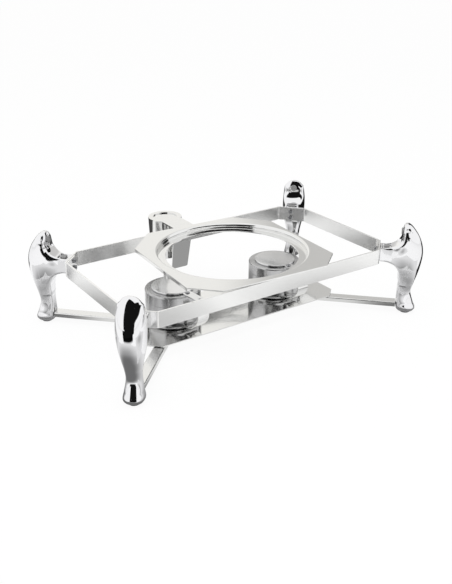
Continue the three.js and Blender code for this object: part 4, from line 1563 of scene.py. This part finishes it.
@dataclass
class RingPlate:
    """The loose pressed plate with its stepped round opening."""

    centre_x: float = 4.0
    turn: float = -3.2
    half_length: float = 138.5
    half_width: float = 141.5
    front_chamfer: Point2 = (41.0, 38.0)
    back_chamfer: Point2 = (52.0, 58.0)
    corner_radius: float = 3.0
    shift: float = 4.0
    sheet: float = 2.0
    edge: float = 0.6
    opening: float = 126.0
    step: float = 9.5
    ledge: float = 113.0
    lip: float = 4.0
    lip_bend: float = 0.3
    # Where there is no lip, the rim's lower edge is only broken
    plain_drop: float = 0.06
    plain_bend: float = 0.02
    tab_width: float = 9.0
    tab_depth: float = 10.0
    tab_y: float = -30.0
    sides: int = 288

    @staticmethod
    def outer_reach(outline: np.ndarray, angle: float) -> float:
        """Measures from the opening's centre to the outline.

        Args:
            outline: The outline's corners about the opening's centre.
            angle: The direction, in radians.

        Returns:
            The distance in millimetres.
        """
        ray = np.array([math.cos(angle), math.sin(angle)])
        best = 1e9
        for a, b in zip(outline, np.roll(outline, -1, axis=0)):
            along = b - a
            det = ray[0] * -along[1] + ray[1] * along[0]
            if abs(det) < 1e-12:
                continue
            reach = (a[0] * -along[1] + a[1] * along[0]) / det
            part = (ray[0] * a[1] - ray[1] * a[0]) / det
            if reach > 0 and -1e-9 <= part <= 1 + 1e-9:
                best = min(best, reach)
        return best

    def angles(self, outline: np.ndarray) -> list[float]:
        """Lists the directions in which the plate's section is drawn.

        Args:
            outline: The outline's corners about the opening's centre.

        Returns:
            Even steps round the opening with the outline's own corners among them, in radians.
        """
        spread = {2 * math.pi * k / self.sides for k in range(self.sides)}
        spread.update(math.atan2(y, x) % (2 * math.pi) for x, y in outline)
        ordered = sorted(spread)
        kept = [ordered[0]]
        for angle in ordered[1:]:
            if angle - kept[-1] > 1e-4:
                kept.append(angle)
        return kept

    def shoulder(self) -> list[Point2]:
        """Draws the pressed step round the opening.

        Returns:
            Radius and height of its points, from the upper side down the step and back underneath.
        """
        out, inn, beyond = self.opening + self.sheet, self.opening, self.opening + self.sheet + 6
        top = FRAME.top + self.sheet
        ledge_top = top - self.step
        ledge_low = ledge_top - self.sheet
        corners = [
            (beyond, top), (inn, top), (inn, ledge_top), (self.ledge, ledge_top), (self.ledge, ledge_low),
            (out, ledge_low), (out, FRAME.top), (beyond, FRAME.top),
        ]
        return fillet(corners, [0, 5.4, 1.2, 0.5, 0.5, 2.6, 3.4, 0], 7)[1:-1]

    def rim(self, reach: float, lipped: bool) -> list[Point2]:
        """Draws the plate's outer edge.

        Args:
            reach: Distance of the edge from the opening's centre.
            lipped: Whether it is bent down into a lip.

        Returns:
            Radius and height of its points, from the underside to the upper side.
        """
        base, top = FRAME.top, FRAME.top + self.sheet
        inner, edge = reach - self.sheet, self.edge
        bend, drop = (self.lip_bend, self.lip) if lipped else (self.plain_bend, self.plain_drop)
        return [
            (inner - 0.4, base), (inner, base - bend), (inner, base - drop), (reach, base - drop),
            (reach, top - edge), (reach - 0.3 * edge, top - 0.3 * edge), (reach - edge, top),
        ]

    def plate(self) -> Shape:
        """Presses the plate, section by section round its opening.

        Returns:
            The plate about its own middle.
        """
        long, wide = self.half_length, self.half_width
        corners = eight_sided(long, wide, self.front_chamfer, self.back_chamfer)
        outline = np.array(fillet(corners, self.corner_radius, 5)) - np.array([self.shift, 0.0])
        low_side, high_side = -wide + self.front_chamfer[1] - 0.01, wide - self.back_chamfer[1] + 0.01
        shoulder = self.shoulder()
        angles = self.angles(outline)
        points: list[Point3] = []
        rows = 0
        for angle in angles:
            reach = self.outer_reach(outline, angle)
            ray = np.array([math.cos(angle), math.sin(angle)])
            spot = ray * reach + np.array([self.shift, 0.0])
            lipped = abs(abs(spot[0]) - long) < 0.05 and low_side <= spot[1] <= high_side
            loop = self.rim(reach, lipped) + shoulder
            rows = len(loop)
            points.extend((self.shift + r * ray[0], r * ray[1], z) for r, z in loop)
        faces: list[tuple[int, ...]] = []
        for k in range(len(angles)):
            n = (k + 1) % len(angles)
            for i in range(rows):
                j = (i + 1) % rows
                faces.append((k * rows + i, n * rows + i, n * rows + j, k * rows + j))
        return Shape().add(points, faces)

    def build(self, shop: Workshop) -> None:
        """Makes the plate with the two tabs of its lips.

        Args:
            shop: The workshop.
        """
        shape = self.plate()
        half = self.tab_width / 2
        for left in (-self.half_length, self.half_length - self.sheet):
            outline = oblong(left, self.tab_y - half, left + self.sheet, self.tab_y + half)
            tab = prism(outline, FRAME.top - self.tab_depth, FRAME.top + self.sheet - 1.0)
            shape.add(tab.points, tab.faces)
        nodes = ["ring_plate", "ring_wall", "ring_ledge"]
        placed = shape.turned(self.turn, self.centre_x)
        shop.bench.fit("pressed_ring_plate", placed, POLISHED_SHEET, "ring", nodes)


@dataclass
class Burner:
    """One fuel burner: cup, strip handle, can, gel, collar, lid and pivot."""

    side: str
    x: float
    turn: float
    y: float = 3.0
    base: float = Tray.top
    cup_radius: float = 46.2
    wall: float = 1.5
    bend: float = 9.0
    seam: float = 62.0
    neck: float = 9.0
    top: float = 80.2
    collar_sheet: float = 1.6
    flame: float = 30.0
    can_radius: float = 41.6
    can_height: float = 46.0
    can_bevel: Point2 = (6.0, 8.0)
    can_rim: Point2 = (2.0, 2.5)
    mouth: float = 19.0
    mouth_depth: float = 8.0
    gel_depth: float = 5.0
    gel_gap: float = 0.9
    gel_sag: float = 1.0
    lid_radius: float = 35.5
    lid_sheet: float = 3.0
    arm_sheet: float = 2.0
    arm_width: float = 15.0
    arm_reach: float = 75.0
    arm_lap: float = 12.0
    slot_width: float = 4.5
    slot_length: float = 5.0
    slot_reach: float = 69.0
    pivot_reach: float = 39.4
    pivot_radius: float = 2.0
    pivot_head: Point2 = (3.7, 1.6)
    handle_width: float = 22.0
    handle_sheet: float = 1.8
    handle_edge: float = 0.4
    handle_sink: float = 0.4
    # The handle's side view: distance from the burner's axis and height over the tray
    handle_path: tuple[Point2, ...] = (
        (42, 36.5), (54, 38.5), (67, 40.6), (76.5, 39), (79.4, 32), (75, 22.5), (65, 12.5), (54, 7.6),
        (42, 7.2),
    )

    @property
    def lid_low(self) -> float:
        """Height of the lid's underside."""
        return self.top + FRAME.gap

    def place(self, shape: Shape) -> Shape:
        """Takes a shape from the burner's own axes to its place on the tray."""
        return shape.turned(self.turn, self.x, self.y)

    def cup(self) -> Shape:
        """Draws the cup with its rounded bottom and the neck that the collar slips over.

        Returns:
            The cup about its axis.
        """
        r, w, inner = self.cup_radius, self.wall, self.cup_radius - self.wall
        neck = inner - FRAME.gap
        rim = self.seam + self.neck
        corners = [
            (0, self.base), (r, self.base), (r, self.seam), (neck, self.seam), (neck, rim), (neck - w, rim),
            (neck - w, self.seam - w), (inner, self.seam - w), (inner, self.base + w), (0, self.base + w),
        ]
        return lathe(fillet(corners, [0, self.bend, 0.5, 0, 0.3, 0.3, 0, 0, self.bend - w, 0], 10), 160)

    def collar(self) -> Shape:
        """Draws the collar with its eased rim and rolled flame opening.

        Returns:
            The collar about the cup's axis.
        """
        r, inner = self.cup_radius, self.cup_radius - self.wall
        under, seam = self.top - self.collar_sheet, self.seam + FRAME.gap
        corners = [
            (self.flame, under), (inner, under), (inner, seam), (r, seam), (r, self.top),
            (self.flame, self.top),
        ]
        return lathe(fillet(corners, [0.6, 1.2, 0, 0.5, 2.6, 0.7]), 160)

    def lid(self) -> Shape:
        """Draws the lid's disc, its edge eased downward."""
        corners = oblong(0, self.lid_low, self.lid_radius, self.lid_low + self.lid_sheet)
        return lathe(fillet(corners, [0, 0.4, 1.3, 0]))

    def lid_arm(self) -> Shape:
        """Draws the flat arm that runs from under the lid's disc to the pivot and on to its end.

        Returns:
            The arm, its end towards negative Y.
        """
        low = self.lid_low
        half, reach = self.arm_width / 2, self.arm_reach
        start = -self.lid_radius + self.arm_lap
        corners = [(-half, start), (-half, -reach), (half, -reach), (half, start)]
        return prism(fillet(corners, [0, 3.5, 3.5, 0]), low, low + self.arm_sheet)

    def lid_slot(self) -> Shape:
        """Draws the block that cuts the slot in the arm's end.

        Returns:
            The block, somewhat taller than the arm.
        """
        wide, long = self.slot_width / 2, self.slot_length / 2
        hole = fillet(oblong(-wide, -self.slot_reach - long, wide, -self.slot_reach + long), 1.4, 5)
        return prism(hole, self.lid_low - 2, self.lid_low + self.arm_sheet + 2)

    def can(self) -> Shape:
        """Draws the fuel can with its rolled rim and open mouth.

        Returns:
            The can about the cup's axis.
        """
        low = self.base + self.wall
        high = low + self.can_height
        r, mouth, bottom = self.can_radius, self.mouth, high - self.mouth_depth
        inset, rise = self.can_bevel
        rim, sunk = self.can_rim
        corners = [
            (0, low), (r - inset, low), (r, low + rise), (r, high), (r - rim, high), (r - rim, high - sunk),
            (mouth, high - sunk), (mouth, bottom), (0, bottom),
        ]
        return lathe(fillet(corners, [0, 2, 3, 0.9, 0.9, 0.8, 0.8, 0.4, 0], 4), 96)

    def gel(self) -> Shape:
        """Draws the gel with its slightly sunk top.

        Returns:
            The gel about the cup's axis.
        """
        low = self.base + self.wall + self.can_height - self.mouth_depth
        r, top, sag = self.mouth - self.gel_gap, low + self.gel_depth, self.gel_sag
        surface = [(r, top), (r - 1.5, top - 0.5 * sag), (r * 0.5, top - 0.9 * sag), (0, top - sag)]
        return lathe([(0, low), (r, low), *surface], 64)

    def pivot(self) -> Shape:
        """Draws the rivet that the lid turns on.

        Returns:
            The rivet, off the cup's axis.
        """
        shelf = self.lid_low + self.arm_sheet + FRAME.gap
        under = self.top - self.collar_sheet - FRAME.gap
        head, tall = self.pivot_head
        foot = head - 1
        corners = [
            (0, under - tall), (foot, under - tall), (foot, under), (self.pivot_radius, under),
            (self.pivot_radius, shelf), (head, shelf), (head, shelf + tall), (0, shelf + tall),
        ]
        return lathe(fillet(corners, [0, 0.4, 0, 0, 0, 0, 1.3, 0], 5), 40).shifted(0, -self.pivot_reach)

    def build(self, shop: Workshop) -> None:
        """Makes all of the burner's pieces.

        Args:
            shop: The workshop.
        """
        bench, side = shop.bench, self.side
        centre = (self.x + bench.origin.x / MM, self.y + bench.origin.y / MM)
        # Painted shade and painted light: the cup and collar take darker tones of the turned stainless, the
        # lid lighter tones of the same metal.
        walls = turned_steel(f"wall_{side}", centre, ("#D2D2D2", "#ACACAD"))
        lid_painted_light = turned_steel(f"lid_{side}", centre, ("#F0F0F0", "#DADADB"))
        for name, shape, finish, body, node in (
            ("turned_cup", self.cup(), walls, "burner", "burner_cup"),
            ("tin_can", self.can(), TINPLATE, "burner", "fuel_can"),
            ("set_gel", self.gel(), FUEL_GEL, "burner", "fuel_gel"),
            ("turned_collar", self.collar(), walls, "collar", "burner_collar"),
            ("pivot_rivet", self.pivot(), SCREW_STEEL, "collar", "lid_pivot"),
        ):
            bench.fit(f"{name}_{side}", self.place(shape), finish, f"{body}_{side}", [f"{node}_{side}"])
        made = bench.piece(f"turned_lid_{side}", self.place(self.lid_arm()), lid_painted_light)
        bench.carve(made, lid_painted_light, [self.place(self.lid_slot())])
        bench.carve(made, lid_painted_light, [self.place(self.lid())], "UNION")
        bench.smooth(made)
        bench.settle(made, lid_painted_light, f"lid_{side}", [f"burner_lid_{side}"])
        self.build_handle(shop)

    def build_handle(self, shop: Workshop) -> None:
        """Bends the strip handle and ends it on the cup's wall.

        Args:
            shop: The workshop.
        """
        line = spline_through(self.handle_path, 10)
        keep = line[line[:, 0] >= self.cup_radius - self.handle_sink]
        place = (
            Matrix.Translation((self.x * MM, self.y * MM, self.base * MM))
            @ Matrix.Rotation(math.radians(self.turn), 4, "Z")
            @ Matrix.Rotation(math.radians(-90), 4, "Z")
            @ Matrix.Rotation(math.radians(90), 4, "X")
        )
        sizes = (self.handle_width, self.handle_sheet, self.handle_edge, 0.0)
        name = f"strip_handle_{self.side}"
        made = shop.strip_piece(name, [tuple(p) for p in keep.tolist()], sizes, POLISHED_SHEET, place, 1)
        shop.bench.settle(made, POLISHED_SHEET, f"burner_{self.side}", [f"burner_handle_{self.side}"])


@dataclass
class RearBracket:
    """The keyhole shelf behind the back bar, with its rivet tab, strut, round cup and rivets."""

    x: float = 0.5
    half: float = 20.5
    reach: float = 106.0
    radius: float = 31.5
    neck_radius: float = 2.0
    recess_radius: float = 22.6
    recess: float = 2.0
    sheet: float = 2.0
    edge: float = 0.6
    edge_angle: float = 50.0
    tab_drop: float = 22.0
    tab_corner: float = 3.0
    tab_lap: float = 0.4
    strut_from_bar: float = 5.8
    strut_length: float = 86.9
    strut_tilt: float = 11.5
    strut_low_half: float = 16.9
    strut_corner: float = 2.5
    # How far the strut's upper end runs into the shelf, and how much narrower than the neck it is there
    strut_lap: float = 1.0
    strut_inset: float = 0.3
    cup_height: float = 74.0
    cup_low_radius: float = 28.5
    cup_wall: float = 1.5
    cup_lip: float = 0.6
    rivet_spacing: float = 28.0
    rivet_height: float = 108.0
    rivet_shank: float = 2.0
    rivet_head: Point2 = (3.8, 1.5)

    @property
    def middle(self) -> float:
        """Distance of the round end's middle from the frame's middle."""
        return FRAME.half_width + self.reach - self.radius

    @property
    def wall(self) -> float:
        """Distance of the back bar's outer side from the frame's middle, with its gap."""
        return FRAME.half_width + FRAME.gap

    @property
    def top(self) -> float:
        """Height of the shelf's upper side."""
        return FRAME.top - FRAME.gap

    def shelf(self) -> Shape:
        """Cuts the neck and its round end in one sheet.

        Returns:
            The sheet, upright about the middle of the neck.
        """
        start = math.acos(self.half / self.radius)
        turns = np.linspace(-start, math.pi + start, 97)
        arc = [(self.radius * math.cos(a), self.middle + self.radius * math.sin(a)) for a in turns]
        line = [(-self.half, self.wall), (self.half, self.wall), *arc]
        radii = [0.0] * len(line)
        radii[2] = radii[-1] = self.neck_radius
        return prism(fillet(line, radii, 4), self.top - self.sheet, self.top)

    def disc(self, radius: float, low: float, high: float) -> Shape:
        """Makes an upright disc about the round end's middle."""
        return lathe(oblong(0, low, radius, high), 96).shifted(0, self.middle)

    def tab(self) -> Shape:
        """Bends the rivet tab down along the back bar.

        Returns:
            The tab, in place but for the bracket's own x.
        """
        corners = oblong(-self.half, self.top - self.tab_drop, self.half, self.top - self.tab_lap)
        outline = fillet(corners, [self.tab_corner, self.tab_corner, 0, 0], 5)
        return prism(outline, 0, self.sheet).moved(
            lambda p: np.stack([p[:, 0], self.wall + self.sheet - p[:, 2], p[:, 1]], axis=1)
        )

    def strut(self) -> Shape:
        """Leans the tapered strut back from under the shelf.

        Returns:
            The strut, in place but for the bracket's own x.
        """
        low, long = self.strut_low_half, self.strut_length
        high, lap = self.half - self.strut_inset, self.strut_lap
        corners = [(-low, -long), (low, -long), (high, lap), (-high, lap)]
        outline = fillet(corners, [self.strut_corner, self.strut_corner, 0, 0], 5)
        lean = math.radians(self.strut_tilt)
        front = self.wall + self.strut_from_bar + self.sheet
        return prism(outline, 0, self.sheet).moved(
            lambda p: np.stack(
                [
                    p[:, 0],
                    front - math.sin(lean) * p[:, 1] - math.cos(lean) * p[:, 2],
                    self.top - self.sheet + math.cos(lean) * p[:, 1] - math.sin(lean) * p[:, 2],
                ],
                axis=1,
            )
        )

    def cup(self) -> Shape:
        """Turns the round cup that hangs under the shelf, with a rolled lower lip.

        Returns:
            The cup in its place.
        """
        under = self.top - self.sheet
        bottom = under - self.cup_height
        low, wall = self.cup_low_radius, self.cup_wall
        corners = [(low - wall, bottom), (low, bottom), (self.radius, under), (self.radius - wall, under)]
        return lathe(fillet(corners, [self.cup_lip, self.cup_lip, 0, 0], 4)).shifted(self.x, self.middle)

    def rivet(self) -> Shape:
        """Turns one rivet along X, from the bar's inner side to the tab's outer side.

        Returns:
            The rivet.
        """
        head, tall = self.rivet_head
        shank = self.rivet_shank
        length = FRAME.thickness + self.sheet + 3 * FRAME.gap
        corners = [
            (0, -tall), (head, -tall), (head, 0), (shank, 0), (shank, length), (head, length),
            (head, length + tall), (0, length + tall),
        ]
        dome = lathe(fillet(corners, [0, 1.2, 0, 0, 0, 0, 1.2, 0], 5), 32)
        return dome.moved(lambda p: np.stack([p[:, 2], p[:, 0], p[:, 1]], axis=1))

    def build(self, shop: Workshop) -> None:
        """Makes the bracket, its cup and its rivets.

        Args:
            shop: The workshop.
        """
        bench = shop.bench
        floor = self.top - self.recess
        shelf, bowl, hollow, tab, strut = (
            shape.shifted(self.x)
            for shape in (
                self.shelf(),
                self.disc(self.recess_radius + self.sheet, floor - self.sheet, self.top),
                self.disc(self.recess_radius, floor, self.top + 1),
                self.tab(),
                self.strut(),
            )
        )
        made = bench.piece("bracket_shelf", shelf, POLISHED_SHEET)
        bench.carve(made, POLISHED_SHEET, [bowl], "UNION")
        bench.carve(made, POLISHED_SHEET, [hollow])
        bench.carve(made, POLISHED_SHEET, [tab, strut], "UNION")
        bench.flatten(made)
        bench.ease(made, self.edge, 3, math.radians(self.edge_angle), harden=False)
        bench.smooth(made)
        bench.settle(made, POLISHED_SHEET, "stand", ["rear_bracket"])
        bench.fit("bracket_cup", self.cup(), POLISHED_SHEET, "stand", ["rear_cup"])
        start = FRAME.half_width - FRAME.thickness - FRAME.gap
        spots = [
            ((self.x + s * self.rivet_spacing / 2, start, self.rivet_height), (0.0, 1.0, 0.0))
            for s in (-1, 1)
        ]
        made = shop.fasteners("bracket_rivets", self.rivet(), spots, SCREW_STEEL)
        bench.settle(made, SCREW_STEEL, "stand", ["bracket_rivet_left", "bracket_rivet_right"])


# Studio

WHITE = "#FFFFFF"
PAPER_TONE = "#E8E8E8"
DARK_TONE = "#141414"
# Cards on the floor lie just over it, in millimetres
FLOOR_CARD_HEIGHT = 0.6
SHADE_HEIGHT = 0.3


@dataclass(frozen=True)
class Card:
    """A flat card that glows and that only reflections see, a painted reflection; its tone runs from one to
    the other along a direction.

    The span says where the tone changes, measured along that direction or from the spot it runs round.
    """

    name: str
    corners: tuple[Point3, Point3, Point3, Point3]
    tones: tuple[str, str] = (DARK_TONE, DARK_TONE)
    along: Point3 = (1.0, 0.0, 0.0)
    span: Point2 = (-1.0, 1.0)
    around: Point2 | None = None

    def reach(self, tree: NodeTree, origin: Vector) -> NodeSocket:
        """Measures where on the card a ray falls, in metres.

        Args:
            tree: The card's material tree.
            origin: Where the strip frame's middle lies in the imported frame.

        Returns:
            The distance along the card, or from the spot the tone runs round.
        """
        place = add_node(tree, "ShaderNodeTexCoord").outputs["Object"]
        if self.around is not None:
            centre = Vector((self.around[0], self.around[1], self.corners[0][2])) * MM + origin
            away = add_node(tree, "ShaderNodeVectorMath", {0: place, 1: tuple(centre)}, operation="DISTANCE")
            return away.outputs["Value"]
        way = Vector(self.along).normalized()
        moved = add_node(tree, "ShaderNodeVectorMath", {0: place, 1: tuple(origin)}, operation="SUBTRACT")
        far = add_node(
            tree, "ShaderNodeVectorMath", {0: moved.outputs[0], 1: tuple(way)}, operation="DOT_PRODUCT"
        )
        return far.outputs["Value"]

    def build(self, origin: Vector) -> Object:
        """Makes the card.

        Args:
            origin: Where the strip frame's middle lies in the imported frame.

        Returns:
            The card, hidden from all but reflections.
        """
        material = bpy.data.materials.new(self.name)
        material.use_nodes = True
        tree = material.node_tree
        tree.nodes.clear()
        share = add_node(
            tree,
            "ShaderNodeMapRange",
            {"Value": self.reach(tree, origin), "From Min": self.span[0] * MM, "From Max": self.span[1] * MM},
            interpolation_type="SMOOTHSTEP",
        ).outputs["Result"]
        tone = add_node(
            tree,
            "ShaderNodeMix",
            {"Factor": share, "A": linear(self.tones[0]), "B": linear(self.tones[1])},
            data_type="RGBA",
        ).outputs["Result"]
        glow = add_node(tree, "ShaderNodeEmission", {"Color": tone, "Strength": 1.0})
        add_node(tree, "ShaderNodeOutputMaterial", {"Surface": glow.outputs[0]})
        spots = [tuple(Vector(p) * MM + origin) for p in self.corners]
        mesh = new_mesh(self.name, spots, faces=[(0, 1, 2, 3)])
        mesh.materials.append(material)
        made = new_object(self.name, mesh)
        made.visible_camera = False
        made.visible_diffuse = False
        made.visible_transmission = False
        made.visible_shadow = False
        return made


def floor_card(name: str, azimuth: float, near: Point3, far: Point3, tone: str, soft: float = 60.0) -> Card:
    """Lays a dark card on the floor past a straight line, seen only in reflections as a painted dark
    reflection.

    Args:
        name: The card's name.
        azimuth: Direction in which the edge lies, in degrees.
        near: Distance of the near side from the frame's middle, and where its ends lie across that direction.
        far: The same for the far side.
        tone: Its tone.
        soft: Width over which white turns to the tone.

    Returns:
        The card.
    """
    a = math.radians(azimuth)
    way = (math.sin(a), -math.cos(a))
    side = (-way[1], way[0])
    ends = ((near[0], near[1]), (near[0], near[2]), (far[0], far[2]), (far[0], far[1]))
    spots = tuple((way[0] * d + side[0] * s, way[1] * d + side[1] * s, FLOOR_CARD_HEIGHT) for d, s in ends)
    return Card(name, spots, (PAPER_TONE, tone), (way[0], way[1], 0.0), (near[0], near[0] + soft))


def wall_card(
    name: str,
    start: Point2,
    end: Point2,
    heights: Point2,
    tones: tuple[str, str] = (DARK_TONE, DARK_TONE),
    span: Point2 = (-1.0, 1.0),
) -> Card:
    """Stands a card upright between two spots of the floor.

    Args:
        name: The card's name.
        start: Where it starts.
        end: Where it ends.
        heights: Height of its lower and its upper edge.
        tones: Its tones at both ends of the span.
        span: Where the tone changes, measured along the card from the foot of the middle's perpendicular.

    Returns:
        The card.
    """
    low, high = heights
    spots = ((*start, low), (*end, low), (*end, high), (*start, high))
    return Card(name, spots, tones, (end[0] - start[0], end[1] - start[1], 0.0), span)


def shade_card(name: str, centre: Point2, span: Point2, tone: str) -> Card:
    """Lays a round shade on the floor.

    Args:
        name: The card's name.
        centre: The middle of the shade.
        span: Where the shade starts to fade and where it ends.
        tone: Its tone in the middle.

    Returns:
        The card.
    """
    x, y = centre
    half = span[1]
    spots = tuple((u, v, SHADE_HEIGHT) for u, v in oblong(x - half, y - half, x + half, y + half))
    return Card(name, spots, (tone, PAPER_TONE), span=span, around=centre)


def foot_shade(corner: str, stretch: float) -> Card:
    """Lays the shade of one foot on the floor.

    Args:
        corner: The foot's corner.
        stretch: How far the shade's middle moves to the left and how much wider it is.

    Returns:
        The card.
    """
    x, y, _ = corner_point(corner, RubberParts.foot_reach, 0.0)
    return shade_card(f"foot_shade_{corner}", (x - stretch, y), (40.0, 115.0 + stretch), "#707070")


@dataclass
class Studio:
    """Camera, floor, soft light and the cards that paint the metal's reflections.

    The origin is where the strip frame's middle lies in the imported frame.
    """

    origin: Vector
    azimuth: float = -33.89
    elevation: float = 24.58
    distance: float = 1352.25
    target: Point3 = (-3.0, 2.0, 44.0)
    focal_px: float = 780.6
    sensor: float = 36.0
    world_strength: float = 0.85
    floor_colour: str = "#F6F6F6"
    floor_half: float = 12.0
    # How much of the floor is plain white to the camera and to reflections
    floor_white: Point2 = (0.93, 0.45)
    lamp_size: float = 1.6
    lamp_power: float = 14.0
    lamp_place: Point3 = (-0.4, -0.3, 1.9)
    # Every card glows with its own tone and only reflections see it: painted dark reflections of the room
    # round the stand, a painted reflection of the backdrop that greys towards one end, and painted shade on
    # the floor round the feet, arms, strut and front bar.
    cards: tuple[Card, ...] = (
        # Painted dark reflections: floor cards past a straight line that only reflections see.
        floor_card("paper_edge_front", -50.8, (480, -120, 80), (2500, -1200, 1360), "#0C0C0C"),
        floor_card("paper_edge_right", 90.0, (345, -250, 420), (1400, -250, 420), "#161616", 30.0),
        floor_card("paper_edge_back", 175.0, (335, -450, 450), (1400, -450, 450), "#4A4A4A", 40.0),
        wall_card("dark_room_low", (-583, -293), (-380, -915), (0, 130)),
        Card("dark_room", ((-595, -275, 130), (-380, -915, 130), (-496, -895, 1700), (-760, 60, 1700))),
        Card(
            "dark_room_high",
            ((-700, -950, 240), (1000, -950, 720), (1000, -950, 1700), (-700, -950, 1700)),
        ),
        wall_card("dark_side_right", (840, 45), (915, 360), (0, 600)),
        wall_card("back_drop", (1916, 520), (-242, 1970), (120, 1500), ("#CFCECC", "#FCFBF8"), (-220, 60)),
        shade_card("strut_shade", (60, 95), (55, 115), "#A2A2A2"),
        shade_card("bar_shade", (-120, -335), (10, 120), "#B8B8B8"),
        shade_card("arm_shade_left", (-345, 105), (0, 165), "#6A6A6A"),
        shade_card("arm_shade_right", (200, -212), (0, 150), "#6A6A6A"),
        foot_shade("front", 30.0),
        *(foot_shade(corner, 0.0) for corner in ("right", "back", "left")),
    )

    def direction(self) -> Vector:
        """Unit vector from the target towards the camera."""
        a, e = math.radians(self.azimuth), math.radians(self.elevation)
        return Vector((math.sin(a) * math.cos(e), -math.cos(a) * math.cos(e), math.sin(e)))

    def build_camera(self) -> None:
        """Sets the camera where the photograph was taken from."""
        camera = bpy.data.cameras.new("camera")
        camera.sensor_width = self.sensor
        camera.sensor_fit = "AUTO"
        camera.lens = self.focal_px / PHOTO_HEIGHT * self.sensor
        camera.clip_start = 0.01
        camera.clip_end = 50.0
        made = new_object("camera", camera)
        back = self.direction()
        made.location = Vector(self.target) * MM + self.origin + back * self.distance * MM
        made.rotation_euler = back.to_track_quat("Z", "Y").to_euler()
        bpy.context.scene.camera = made

    def background_share(
        self, tree: NodeTree, camera: float, mirrored: float
    ) -> NodeSocket:
        """Weighs how much white background a ray sees.

        Args:
            tree: The shader's tree.
            camera: Share for the camera's own rays.
            mirrored: Share for rays that come by way of a shiny or a clear surface.

        Returns:
            The share for each ray.
        """
        rays = add_node(tree, "ShaderNodeLightPath").outputs
        glossy, clear = rays["Is Glossy Ray"], rays["Is Transmission Ray"]
        both = add_node(tree, "ShaderNodeMath", {0: glossy, 1: clear}, operation="MAXIMUM").outputs[0]
        seen = add_node(tree, "ShaderNodeMath", {0: both, 1: mirrored}, operation="MULTIPLY").outputs[0]
        return add_node(
            tree, "ShaderNodeMath", {0: rays["Is Camera Ray"], 1: camera, 2: seen}, operation="MULTIPLY_ADD"
        ).outputs[0]

    def build_world(self) -> None:
        """Lights the room evenly and shows a white background."""
        world = bpy.data.worlds.new("studio")
        bpy.context.scene.world = world
        world.use_nodes = True
        tree = world.node_tree
        tree.nodes.clear()
        light, white = (
            add_node(tree, "ShaderNodeBackground", {"Color": linear(WHITE), "Strength": strength})
            for strength in (self.world_strength, 1.0)
        )
        mix = add_node(
            tree,
            "ShaderNodeMixShader",
            {0: self.background_share(tree, 1.0, 1.0), 1: light.outputs[0], 2: white.outputs[0]},
        )
        add_node(tree, "ShaderNodeOutputWorld", {"Surface": mix.outputs[0]})

    def build_floor(self) -> None:
        """Lays the pale floor, white where the background shows but with the stand's shadow."""
        material = bpy.data.materials.new("studio_floor")
        material.use_nodes = True
        tree = material.node_tree
        shader = tree.nodes["Principled BSDF"]
        shader.inputs["Base Color"].default_value = linear(self.floor_colour)
        shader.inputs["Roughness"].default_value = 0.9
        shader.inputs["Specular IOR Level"].default_value = 0.1
        glow = add_node(tree, "ShaderNodeEmission", {"Color": linear(WHITE), "Strength": 1.0})
        share = self.background_share(tree, *self.floor_white)
        mix = add_node(tree, "ShaderNodeMixShader", {0: share, 1: shader.outputs[0], 2: glow.outputs[0]})
        tree.links.new(mix.outputs[0], tree.nodes["Material Output"].inputs["Surface"])
        half = self.floor_half
        spots = [(x, y, 0.0) for x, y in oblong(-half, -half, half, half)]
        mesh = new_mesh("studio_floor", spots, faces=[(0, 1, 2, 3)])
        mesh.materials.append(material)
        new_object("studio_floor", mesh)

    def build_lamp(self) -> None:
        """Hangs one large soft lamp over the stand for its shadow."""
        lamp = bpy.data.lights.new("soft_lamp", "AREA")
        lamp.shape = "DISK"
        lamp.size = self.lamp_size
        lamp.energy = self.lamp_power
        made = new_object("soft_lamp", lamp)
        made.location = Vector(self.lamp_place) + self.origin
        made.rotation_euler = Vector(self.lamp_place).to_track_quat("Z", "Y").to_euler()
        made.visible_glossy = False

    def build(self) -> None:
        """Sets the whole studio."""
        self.build_camera()
        self.build_world()
        self.build_floor()
        for card in self.cards:
            card.build(self.origin)
        self.build_lamp()
        bpy.context.scene.view_settings.view_transform = "Standard"


def main() -> None:
    """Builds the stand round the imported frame."""
    logging.basicConfig(level=logging.INFO, format="%(name)s %(message)s")
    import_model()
    low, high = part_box("tray")
    origin = Vector(((low[0] + high[0]) / 2, (low[1] + high[1]) / 2, 0.0))
    LOG.info("frame's middle at %.6f, %.6f", origin.x, origin.y)
    Studio(origin).build()
    shop = Workshop(Bench(origin))
    for part in (
        CastLegs(),
        RubberParts(),
        StripFrame(),
        Screws(),
        Tray(),
        RingPlate(),
        Burner("left", -108.0, 7.0),
        Burner("right", 102.0, 1.0),
        RearBracket(),
    ):
        part.build(shop)


if __name__ == "__main__":
    main()
